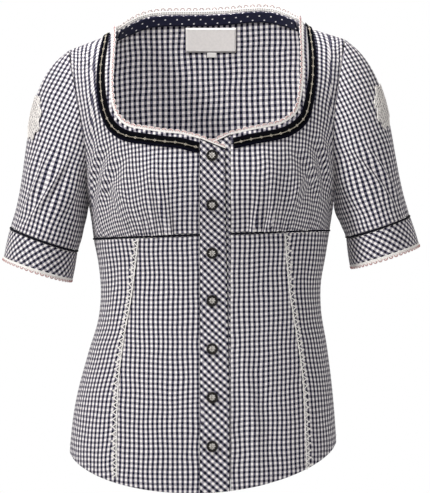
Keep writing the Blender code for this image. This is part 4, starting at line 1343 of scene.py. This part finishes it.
# %% Shape the sleeves
SLEEVE_CREASES = {
    "left": ((-234, -264, -172, -160, -4, 2.6, 3.8), (-237, -246, -198, -150, -4, 2.6, 3.6),
             (-226, -262, -164, -164, -4, 4.0, -1.6), (-190, -268, -150, -206, 3, 6, -1.5),
             (-170, -256, -160, -180, 3, 4, 1.8), (-240, -205, -208, -140, -6, 5, 1.4)),
    "right": ((166, -152, 240, -244, 4, 2.6, 3.8), (190, -150, 246, -240, 4, 2.6, 3.6),
              (158, -158, 232, -250, 4, 4.0, -1.6), (156, -200, 200, -256, -3, 6, -1.5),
              (170, -250, 162, -176, -3, 4, 1.8), (214, -136, 242, -196, 5, 5, 1.4)),
}


def sleeve(hand):
    grid = finer_tube(sleeve_tube(hand), 9, 8)
    grid = np.roll(grid, grid.shape[1] // 2, axis=1)
    normals = tube_normals(grid)
    flat = sleeve_weave(grid, normals, hand)
    x, y, z = (grid[..., k] for k in range(3))
    front = creases(x, z, SLEEVE_CREASES[hand]) * ease(-y, 2, 22)
    rear = creases(x + 5, z - 8, SLEEVE_CREASES[hand]) * ease(y, 2, 22)
    share = np.linspace(0, 1, grid.shape[0])[:, None]
    ends = ease(share, 0, 0.14) * ease(1 - share, 0, 0.10)
    run = run_along(grid, 1)
    lift = (front + rear + 0.4 * np.sin(run / 17.0 + 5 * share) * np.sin(7 * share)) * ends
    lift += seam_puckers(run, (1 - share) * 150, 8.0, 0.35) * ease(1 - share, 0, 0.03)
    slip = tucks(x, z, SLEEVE_CREASES[hand], -SIGN[hand]) * ease(-y, 2, 22) * ends
    flat[:, :-1, 0] += 0.8 * slip
    grid = grid + normals * lift[..., None]
    cloth("sleeve_cloth_" + hand, grid, flat, sleeve_check, ["sleeve_" + hand],
          closed=True)
    return grid


sleeves = {hand: sleeve(hand) for hand in SIGN}
print("sleeve grid:", sleeves["left"].shape[:2])

# %% [markdown]
# The cuff is a bias band between a navy piping and a narrow picot lace. Lace like this is a woven
# strip with a row of thread loops. Here the strip is thin cloth with a wavy edge and the loops are
# round threads: a white arch for each picot, and a smaller pink one inside it.

# %% Lace with picot loops
def line_frame(points, out):
    """Points, sideways and outward directions and run length of a line."""
    side = unit(np.cross(out, np.gradient(points, axis=0)))
    return points, side, out, run_along(points, 0)


def form_line(places, lift=0.0):
    points = on_body(places, lift)
    return line_frame(points, on_body(places, lift + 1.0) - points)


def beside(line, at, side, up):
    """Points at lengths along a line, moved sideways and outward."""
    points, sideways, out, run = line
    at, side, up = np.broadcast_arrays(*(np.asarray(value, float) for value in (at, side, up)))
    base, across, lifted = (
        np.stack([np.interp(at, run, part[:, k]) for k in range(3)], axis=-1)
        for part in (points, sideways, out)
    )
    return base + across * side[..., None] + lifted * up[..., None]


PICOT_LOOPS = (("white", 0.46, 1.0, 0.25), ("white", 0.26, 0.50, 0.45), ("pink", 0.34, 0.78, 0.75))


def picot_lace(name, line, way, pitch, heights, nodes, start=0.0):
    """Lace strip with loops on one side (way is 1 or -1); heights are read along the line."""
    length = line[3][-1]
    count = max(1, int(round((length - 2 * start) / pitch)))
    pitch = (length - 2 * start) / count
    fine = np.linspace(start, length - start, count * 8 + 1)
    tall = heights(fine)
    wave = 0.50 + 0.10 * np.abs(np.sin(np.pi * (fine - start) / pitch))
    rows = np.linspace(0, 1, 5)[:, None]
    strip = beside(line, fine[None, :] + 0 * rows, way * rows * tall * wave, 0 * rows * tall)
    flat = np.stack([fine[None, :] + 0 * rows, rows * tall * wave], axis=-1)
    cloth(name + "_strip", strip, flat, lace_cloth, nodes, wall=0.5)
    white, pink = [], []
    bow = np.linspace(-1, 1, 9)
    for middle in start + pitch * (np.arange(count) + 0.5):
        tip = float(heights(np.array(middle)))
        foot = 0.45 * tip
        arch = np.sqrt(np.clip(1 - bow ** 2, 0, 1)) * (tip - foot)
        for threads, reach, rise, up in PICOT_LOOPS:
            loop = beside(line, middle + bow * reach * pitch, way * (foot + arch * rise), up)
            (pink if threads == "pink" else white).append(loop)
    edges = [beside(line, fine, way * 0.5, 0.35), beside(line, fine, way * tall * 0.42, 0.35)]
    cords(name + "_loops", [*white, *edges], 0.42, lace_thread, nodes)
    cords(name + "_pink_thread", pink, 0.36, pink_thread, nodes)
    return count


print("threads in a picot:", len(PICOT_LOOPS))

# %% [markdown]
# A cuff is a band of cloth cut on the bias, so its checks stand on their corners. It fills the space
# between the two rings, is a little full in the middle, and puckers beside its seam. A navy piping lies
# in the seam, and the lace is sewn inside the end and points the way the cuff opens.

# %% Sew the cuffs
def cuff(hand):
    turn = np.linspace(0, 360, 145)[:-1] + 180
    top = cuff_ring(hand, turn, "top", SEAM_ROLL)
    bottom = cuff_ring(hand, turn, "end", -6.0)
    share = np.linspace(0, 1, 15)[:, None, None]
    grid = top + (bottom - top) * share
    run = run_along(grid, 1)
    share = share[..., 0]
    bulge = 0.5 * np.sin(np.pi * share) + seam_puckers(run, share * 34, 7.0, 0.3) * (share > 0)
    grid = grid + tube_normals(grid) * bulge[..., None]
    cloth("cuff_band_" + hand, grid, tube_weave(grid), bias_check,
          ["cuff_" + hand], closed=True)
    cords("cuff_seam_piping_" + hand, [cuff_ring(hand, turn, "top")], 1.35, navy_thread,
          ["cuff_piping_" + hand], closed=True, resolution=2)
    ring = np.concatenate([grid[-1], grid[-1, :1]])
    centre, axis = cuff_axes(hand, "end")[0], cuff_axes(hand, "end")[2]
    line = line_frame(ring + axis * 0.3, unit(ring - centre + 6.0 * axis))
    way = np.sign(np.sum(line[1][0] * axis))
    name = "cuff_lace_" + hand
    return picot_lace(name, line, way, 6.9, lambda at: 5.6 + 0 * at, [name])


for hand in SIGN:
    print("cuff", hand, "has", cuff(hand), "picots")

# %% [markdown]
# ## Lace patches on the sleeves
# A leaf of net lace with a scalloped edge is sewn to each sleeve. It is one thin sheet that follows the
# sleeve, with worked eyelets and a flower of raised thread over it.

# %% Sew on the patches
PATCH_TURN = 14.0
PATCH_SHARE = 0.40
PATCH_HALF = (19.0, 0.108)
SCALLOPS = 8


def on_tube(grid, normals, turn, share, lift):
    """Points over a sleeve grid at turns (degrees) and shares of its length."""
    columns = grid.shape[1]
    turn, share, lift = np.broadcast_arrays(*(np.asarray(value, float) for value in (turn, share, lift)))
    c = ((turn + 180) / 360 * columns) % columns
    r = np.clip(share * (grid.shape[0] - 1), 0, grid.shape[0] - 1.001)
    c0, r0 = c.astype(int), r.astype(int)
    fc, fr = (c - c0)[..., None], (r - r0)[..., None]
    lifted = [part[r0 + i, (c0 + j) % columns] for part in (grid, normals) for i in (0, 1) for j in (0, 1)]
    weights = [(1 - fr) * (1 - fc), (1 - fr) * fc, fr * (1 - fc), fr * fc]
    base = sum(w * part for w, part in zip(weights, lifted[:4]))
    return base + sum(w * part for w, part in zip(weights, lifted[4:])) * lift[..., None]


def lace_patch(hand):
    grid = sleeves[hand]
    normals = tube_normals(grid)

    def leaf(angle, reach, lift):
        edge = 1 + 0.10 * np.cos(SCALLOPS * angle) * reach ** 4
        turn = PATCH_TURN + PATCH_HALF[0] * edge * reach * np.cos(angle)
        share = PATCH_SHARE + PATCH_HALF[1] * edge * reach * np.sin(angle)
        return on_tube(grid, normals, turn, share, lift)

    angle = np.linspace(0, 2 * np.pi, 129)[:-1]
    reach = np.linspace(0.02, 1, 20)[:, None]
    points = leaf(angle, reach, 1.6)
    flat = np.stack([17 * reach * np.cos(angle), 19 * reach * np.sin(angle)], axis=-1)
    flat = np.concatenate([flat, flat[:, :1]], axis=1)
    cloth("lace_patch_" + hand, points, flat, net_lace, ["applique_" + hand], wall=0.5, closed=True)
    raised = [leaf(angle, 0.98, 2.0), leaf(angle, 0.80, 2.0), leaf(angle, 0.2, 2.1)]
    small = np.linspace(0, 2 * np.pi, 13)
    for petal in range(6):
        middle = 2 * np.pi * petal / 6
        raised.append(leaf(middle + 0.42 * np.sin(small), 0.46 - 0.22 * np.cos(small), 2.2))
    for eyelet in range(SCALLOPS * 2):
        middle = np.pi * eyelet / SCALLOPS
        raised.append(leaf(middle + 0.10 * np.sin(small), 0.89 - 0.055 * np.cos(small), 2.1))
    cords("lace_patch_stitches_" + hand, raised, 0.32, lace_thread, ["applique_" + hand])
    return len(raised)


for hand in SIGN:
    print("patch", hand, "has", lace_patch(hand), "worked threads")

# %% [markdown]
# ## Button bands
# The two bands are cut on the bias, so their checks run diagonally. The upper one carries the buttons
# and lies on the under one. Both have a slanted top, and the upper one has a row of machine stitches along
# each edge.

# %% Make the button bands
PLACKET_RIGHT = table(("level", "right"), (
    (-600, 26.0), (-490, 26.0), (-370, 24.0), (-270, 22.0), (-150, 20.6),
))
PLACKET_LEFT = -10.2
UNDER_EDGES = (-4.0, 27.4)
TOP_CORNERS = (-152.0, -165.5)
UNDER_CORNERS = (-162.0, -148.0)
OVERLAP = 1.6


def dashes(line, pitch, long, side, up, start=0.0):
    """Short stitches along a line."""
    starts = np.arange(start + pitch, line[3][-1] - start - pitch, pitch)
    return [beside(line, [at, at + long], side, up) for at in starts]


def button_band(name, left, right, corners, lift, node_name):
    share = np.linspace(0, 1, 13)
    rows = np.linspace(0, 1, 181)[:, None]
    top = corners[0] + (corners[1] - corners[0]) * share
    level = top + (HEM_SIDE - HEM_DROP[-1] - top) * rows
    for _ in range(6):
        x = left + (right(level) - left) * share
        places = front_places(x, level)
        level = top + (hem_level(places[..., 0], -1) - top) * rows
    places = front_places(x, level)
    soft = 0.35 * np.sin(level / 26.0 + x / 31.0) * np.sin(np.pi * share)
    points = on_body(places, lift + soft)
    flat = straight_weave(points, 6)
    flat[..., 1] += (top - top[0]) * -1
    return cloth(name, points, flat, bias_check, [node_name]), places


def top_right(level):
    return read(PLACKET_RIGHT, "level", "right", level)


def under_right(level):
    return np.full_like(level, UNDER_EDGES[1])


top_band, top_places = button_band(
    "button_band_top", PLACKET_LEFT, top_right, TOP_CORNERS, OVERLAP, "placket_top")
under_band, under_places = button_band(
    "button_band_under", UNDER_EDGES[0], under_right, UNDER_CORNERS, 0.15, "placket_under")
stitches = []
for column in (1, 11):
    line = form_line(top_places[:, column], OVERLAP)
    stitches += dashes(line, 3.4, 2.3, 0.0, 0.42)
cords("button_band_stitches", stitches, 0.16, grey_thread, ["placket_top"])
folded = [form_line(top_places[:, column], OVERLAP)[0] for column in (0, -1)]
cords("button_band_edges", folded, 0.42, bias_check, ["placket_top"])
print("button band stitches:", len(stitches))

# %% [markdown]
# ## Neck: band, ribbon, facing and lace
# From the edge outward come the picot lace, a narrow gingham band and the velvet ribbon with its chain
# stitch. Inside the back neck lies a dotted facing. All of them follow lines at fixed distances from the
# neck edge, made finer so that they bend smoothly over the shoulders.

# %% Trim the neck
FINE = 4
RIBBON_INNER = 4.6
FACING = 15.0


def neck_places(distance):
    return finer(neck_row(distance), FINE, RIDGES)


def on_ridge(count):
    """1 on the shoulder ridges, falling to 0 along the neck."""
    station = np.arange(count) / FINE
    return sum(np.exp(-(((station - ridge) / 2.2) ** 2)) for ridge in RIDGES)


band = np.stack([neck_places(distance) for distance in (0.0, 3.0, 6.0, 9.0, BAND_JOIN)])
points = on_body(band)
step = np.diff(points, axis=1)
climb = np.sign(step[..., 2]) * np.hypot(step[..., 1], step[..., 2])
climb = np.concatenate([points[:, :1, 2], points[:, :1, 2] + np.cumsum(climb, axis=1)], axis=1)
cloth("neck_band_cloth", points, np.stack([points[..., 0], climb], axis=-1), check, ["neck_band"])
rows = np.linspace(0, 1, 7)
stations = np.arange(sum(NECK_STEPS) + 1)
straps = (RIDGES[0] - 6, RIDGES[1] + 6)
on_strap = sum(np.exp(-(((stations - middle) / 5.5) ** 2)) for middle in straps)
strap_shift = (4.2 * on_strap * (stations != RIDGES[0]) * (stations != RIDGES[1]))[:, None]
ribbon = [neck_places(RIBBON_INNER + strap_shift + RIBBON_WIDE * share) for share in rows]
ribbon = np.stack(ribbon)[:, 1:-1]
lift = 1.35 + 0.25 * (1 - (2 * rows[:, None] - 1) ** 2) + 1.3 * on_ridge(ribbon.shape[1])
points = on_body(ribbon, lift)
flat = np.stack([run_along(points, 1), RIBBON_WIDE * rows[:, None] + 0 * lift], axis=-1)
cloth("neck_ribbon", points, flat, velvet, ["ribbon"], wall=0.7)
middle = line_frame(points[3], on_body(ribbon[3], lift[3] + 1.0) - points[3])
print("ribbon is", round(middle[3][-1]), "mm long")

# %% [markdown]
# The ribbon is worked with a chain down its middle. Two threads that cross at even steps look like its
# links, with a small diamond every few links.

# %% Embroider the ribbon
LINK = 2.6
DIAMOND_PITCH = 13.0


def chain_stitch(line, link, wide, up):
    """Two threads that cross between the links of a chain, and a small diamond every few links."""
    at = np.arange(1.0, line[3][-1] - 1.0, link / 8)
    wave = np.sin(np.pi * at / link)
    cross = 0.12 * np.cos(np.pi * at / link)
    threads = [beside(line, at, way * wide * wave, up + way * cross) for way in (1, -1)]
    corner = np.arange(5) * np.pi / 2
    diamonds = [beside(line, mid + 1.7 * np.sin(corner), 1.5 * np.cos(corner), up + 0.15)
                for mid in np.arange(4.0, line[3][-1] - 4.0, DIAMOND_PITCH)]
    return threads, diamonds


threads, diamonds = chain_stitch(middle, LINK, 0.42, 0.50)
cords("ribbon_chain_stitch", threads, 0.13, beige_thread, ["ribbon"])
cords("ribbon_diamonds", diamonds, 0.27, beige_thread, ["ribbon"])
start, stop = (RIDGES[0] + 2) * FINE, (RIDGES[1] - 2) * FINE
facing = np.stack([neck_places(0.4 + FACING * share)[start:stop + 1] for share in np.linspace(0, 1, 8)])
points = on_body(facing, -1.5)
cloth("dotted_neck_facing", points, straight_weave(points), facing_cloth,
      ["neck_facing"], wall=0.5)
print("chain stitch links:", int(middle[3][-1] / LINK))

# %% Run the picot lace round the neck
LACE_LEVELS = (-150.0, -100.0, -30.0, 15.0)
LACE_HEIGHTS = (4.8, 5.8, 6.5, 10.0)


def band_top(left, right, corners, count=9):
    x, level = np.linspace((right, corners[1]), (left, corners[0]), count).T
    return front_places(x, level)


on_top = band_top(PLACKET_LEFT, float(top_right(np.array(TOP_CORNERS[1]))), TOP_CORNERS)
under = band_top(UNDER_EDGES[0], UNDER_EDGES[1], UNDER_CORNERS)[::1]
edge = neck_places(0.0)
places = np.concatenate([on_top, edge[FINE:-FINE], under])
lift = np.concatenate([np.full(len(on_top), OVERLAP), np.zeros(len(edge) - 2 * FINE), np.zeros(len(under))])
lift[len(on_top):len(on_top) + 2] = OVERLAP / 2
points = on_body(places, lift)
line = line_frame(points, on_body(places, lift + 1.0) - points)
way = np.sign(np.sum(line[1][len(on_top) // 2] * np.array([0, 0, 1.0])))
line_level = line[0][:, 2] - TILT * line[0][:, 0]


def lace_height(at):
    return np.interp(np.interp(at, line[3], line_level), LACE_LEVELS, LACE_HEIGHTS)


count = picot_lace("neck_lace", line, way, 8.4, lace_height, ["neck_lace"])
# A thin dark cord runs along the slanted tops of both bands, just under the lace.
tops = [form_line(on_top, OVERLAP + 0.5)[0], form_line(under, 0.8)[0]]
cords("band_top_dark_cord", tops, 0.7, navy_thread, ["placket_top", "placket_under"])
print("picots round the neck:", count)

# %% [markdown]
# ## Piping and lace over the seams
# A navy piping marks the seam under the bust. Each princess seam is covered by open lace: a narrow braid
# on its inner side, and on its outer side a zigzag of threads with a small loop at each point.

# %% Pipe and lace the seams
LACE_HEM = -568.0
TOOTH = 9.0


def under_bust_piping(hand):
    sign = SIGN[hand]
    seam_x = PLACKET_LEFT - 0.5 if hand == "left" else SEAM_X[hand] + 0.5
    start = front_places(seam_x, UNDERBUST)[0]
    angle = np.linspace(start, sign * 89.6, 90)
    points = body(angle, roll_of(width_place(angle, UNDERBUST), UNDERBUST, -1), 0.2)
    return cords("under_bust_piping_" + hand, [points], 1.3, navy_thread,
                 ["bust_piping_" + hand], resolution=3)


def seam_lace(hand):
    level = np.linspace(UNDERBUST - 2.5, LACE_HEM, 300)
    line = form_line(front_places(princess(hand, level), level), 1.25)
    outside = np.sign(line[1][0, 0]) * SIGN[hand]
    run = np.linspace(0, line[3][-1], 33 * 12 + 1)
    t = (run / TOOTH) % 1
    tooth = -2.6 + 6.4 * (1 - np.abs(2 * t - 1))
    ripple = 2.9 + 0.4 * np.cos(2 * np.pi * run / TOOTH)
    rows = np.linspace(0, 1, 5)[:, None]
    side = outside * (-ripple + 1.1 * rows)
    flat = np.stack([run + 0 * rows, side], axis=-1)
    cloth("seam_lace_" + hand, beside(line, run + 0 * rows, side, 0 * side), flat, lace_cloth,
          ["princess_lace_" + hand], wall=0.5)
    threads = [beside(line, run, outside * tooth, 0.3), beside(line, run, outside * (tooth - 0.9), 0.5),
               beside(line, run, -outside * ripple, 0.3)]
    bow = np.linspace(0, 2 * np.pi, 11)
    for middle in np.arange(TOOTH / 2, run[-1], TOOTH):
        threads.append(beside(line, middle + 0.9 * np.sin(bow), outside * (4.0 - 0.7 * np.cos(bow)), 0.45))
    cords("seam_lace_threads_" + hand, threads, 0.42, lace_thread, ["princess_lace_" + hand])
    return len(threads)


for hand in SIGN:
    under_bust_piping(hand)
    print("seam lace", hand, "has", seam_lace(hand), "threads")

# %% [markdown]
# ## Buttons
# Each button is a small cast dome: a turned base, a twisted rope round the rim and a raised flower. The
# base is turned from a half section, and the rope is a ring of slanted beads. All seven share one shape
# and stand on the upper band, facing straight out from the cloth.

# %% Cast the buttons
BUTTONS = 7
BUTTON_TOP = -173.0
BUTTON_PITCH = 59.9
BUTTON_X = 4.8
BUTTON_RADIUS = 7.2
BUTTON_HEIGHT = 3.4
BUTTON_SECTION = ((0.02, 0.62), (0.30, 0.64), (0.55, 0.56), (0.72, 0.44), (0.80, 0.55), (0.90, 0.66),
                  (0.99, 0.48), (1.00, 0.26), (0.94, 0.06), (0.85, 0.0), (0.02, 0.0))


def turned_base(sides=48):
    turn = np.linspace(0, 2 * np.pi, sides + 1)[:-1]
    section = np.array(BUTTON_SECTION)
    radius, height = section[:, :1] * BUTTON_RADIUS, section[:, 1:] * BUTTON_HEIGHT
    points = np.stack([radius * np.cos(turn), radius * np.sin(turn), height + 0 * turn], axis=-1)
    index = shut(np.arange(points.shape[0] * sides).reshape(-1, sides))
    faces = np.stack([index[:-1, :-1], index[:-1, 1:], index[1:, 1:], index[1:, :-1]], axis=-1)
    return points.reshape(-1, 3), faces.reshape(-1, 4)


def bead(centre, size, spin, rings=6, sides=8):
    """Small ellipsoid; size is its three half lengths and spin turns it about Z."""
    up = np.linspace(0.001, np.pi - 0.001, rings)[:, None]
    turn = np.linspace(0, 2 * np.pi, sides + 1)[:-1]
    around = [np.sin(up) * np.cos(turn), np.sin(up) * np.sin(turn), np.cos(up) + 0 * turn]
    ball = np.stack(around, axis=-1).reshape(-1, 3) * size
    c, s = math.cos(spin), math.sin(spin)
    ball = ball @ np.array([[c, s, 0], [-s, c, 0], [0, 0, 1]]) + centre
    index = shut(np.arange(rings * sides).reshape(rings, sides))
    faces = np.stack([index[:-1, :-1], index[1:, :-1], index[1:, 1:], index[:-1, 1:]], axis=-1)
    return ball, faces.reshape(-1, 4)


print("a turned base has", len(turned_base()[1]), "faces")

# %% [markdown]
# A rope of slanted beads runs round the rim, and eight petals with a bead in their middle make the
# flower. The shapes only touch, as they would on a casting that is worn smooth.

# %% Put a button together
def bead_ring(count, radius, height, size, lean, finish):
    """Beads round a button; radius and height are shares of the button's own."""
    ring = []
    for n in range(count):
        turn = 2 * np.pi * n / count
        outward = np.array([math.cos(turn), math.sin(turn), 0])
        centre = outward * radius * BUTTON_RADIUS + (0, 0, height * BUTTON_HEIGHT)
        ring.append((*bead(centre, size, turn + lean), finish))
    return ring


def button_parts():
    """Shapes of a button; each has points, faces and the number of its finish."""
    shapes = [(*turned_base(), 0)]
    shapes += bead_ring(26, 0.86, 0.72, (1.05, 0.55, 0.5), 0.7, 0)
    shapes += bead_ring(8, 0.38, 0.68, (1.55, 0.8, 0.55), 0.0, 1)
    shapes.append((*bead(np.array([0, 0, 0.78 * BUTTON_HEIGHT]), (1.1, 1.1, 0.7), 0.0), 1))
    return shapes


def button_mesh():
    points, faces, marks, start = [], [], [], 0
    for shape, cells, mark in button_parts():
        points.append(shape)
        faces.append(cells + start)
        marks += [mark] * len(cells)
        start += len(shape)
    mesh = bpy.data.meshes.new("button")
    mesh.from_pydata((np.concatenate(points) * MM).tolist(), [], np.concatenate(faces).tolist())
    mesh.materials.append(dark_metal)
    mesh.materials.append(bright_metal)
    mesh.polygons.foreach_set("material_index", marks)
    mesh.shade_smooth()
    return mesh


print("shapes in a button:", len(button_parts()))

# %% [markdown]
# One button is made, and each of the seven is a copy of it that stands on the button band and faces the
# way the cloth does there.

# %% Sew on the buttons
def sew_button(number, mesh):
    place = front_places(BUTTON_X, BUTTON_TOP - BUTTON_PITCH * number)
    foot, above = on_body(place, OVERLAP + 0.9), on_body(place, OVERLAP + 1.9)
    button = bpy.data.objects.new("pewter_button_" + str(number + 1), mesh.copy())
    bpy.context.scene.collection.objects.link(button)
    button.location = Vector(foot) * MM
    button.rotation_mode = "QUATERNION"
    button.rotation_quaternion = Vector(above - foot).to_track_quat("Z", "Y")
    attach(button, "root")
    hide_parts("button_" + str(number + 1))
    return button


shape = button_mesh()
for number in range(BUTTONS):
    sew_button(number, shape)
bpy.data.meshes.remove(shape)
print("buttons sewn on:", BUTTONS)

# %% [markdown]
# ## Label and stitches
# A satin label and a small tab are sewn inside the back neck. Last come the stitches that hold the hem:
# short dashes of thread just above the cloth, as a machine leaves them.

# %% Sew in the label and the hems
LABEL = ((66.0, 31.0), (3.0, -14.5))
TAB = ((12.5, 6.0), (4.0, -33.4))
INSIDE = -1.5


def woven_label(name, size, centre, node_name):
    across = np.linspace(-0.5, 0.5, 25)[None, :]
    down = np.linspace(-0.5, 0.5, 13)[:, None]
    x = centre[0] + size[0] * across + 0 * down
    z = centre[1] + size[1] * down + 0 * across
    roll = roll_of(x, z - TILT * x, 1)
    points = body(angle_of(x, roll), roll, INSIDE)
    flat = np.stack([x, z], axis=-1)
    cloth(name, points, flat, satin, [node_name], wall=0.5)
    out = body(angle_of(x, roll), roll, INSIDE - 1.0) - points
    sides = [line_frame(points[1], out[1]), line_frame(points[-2], out[-2]),
             line_frame(points[:, 1], out[:, 1]), line_frame(points[:, -2], out[:, -2])]
    return [stitch for side in sides for stitch in dashes(side, 2.4, 1.5, 0.0, 0.3)]


sewn = woven_label("blank_label", *LABEL, "label")
sewn += woven_label("blank_size_tab", *TAB, "size_tab")
cords("label_stitches", sewn, 0.12, label_thread, ["label"])
hems = []
for hand in SIGN:
    for places in lower[hand]:
        hems += dashes(form_line(places[-5], 0.0), 3.6, 2.4, 0.0, 0.55, start=2.0)
back_hem = form_line(back[2], 0.9)
hems += dashes(back_hem, 3.6, 2.4, 0.0, 0.0)
cords("hem_stitches", hems, 0.16, grey_thread, ["back"])
print("stitches:", len(sewn), "on the label,", len(hems), "on the hem")
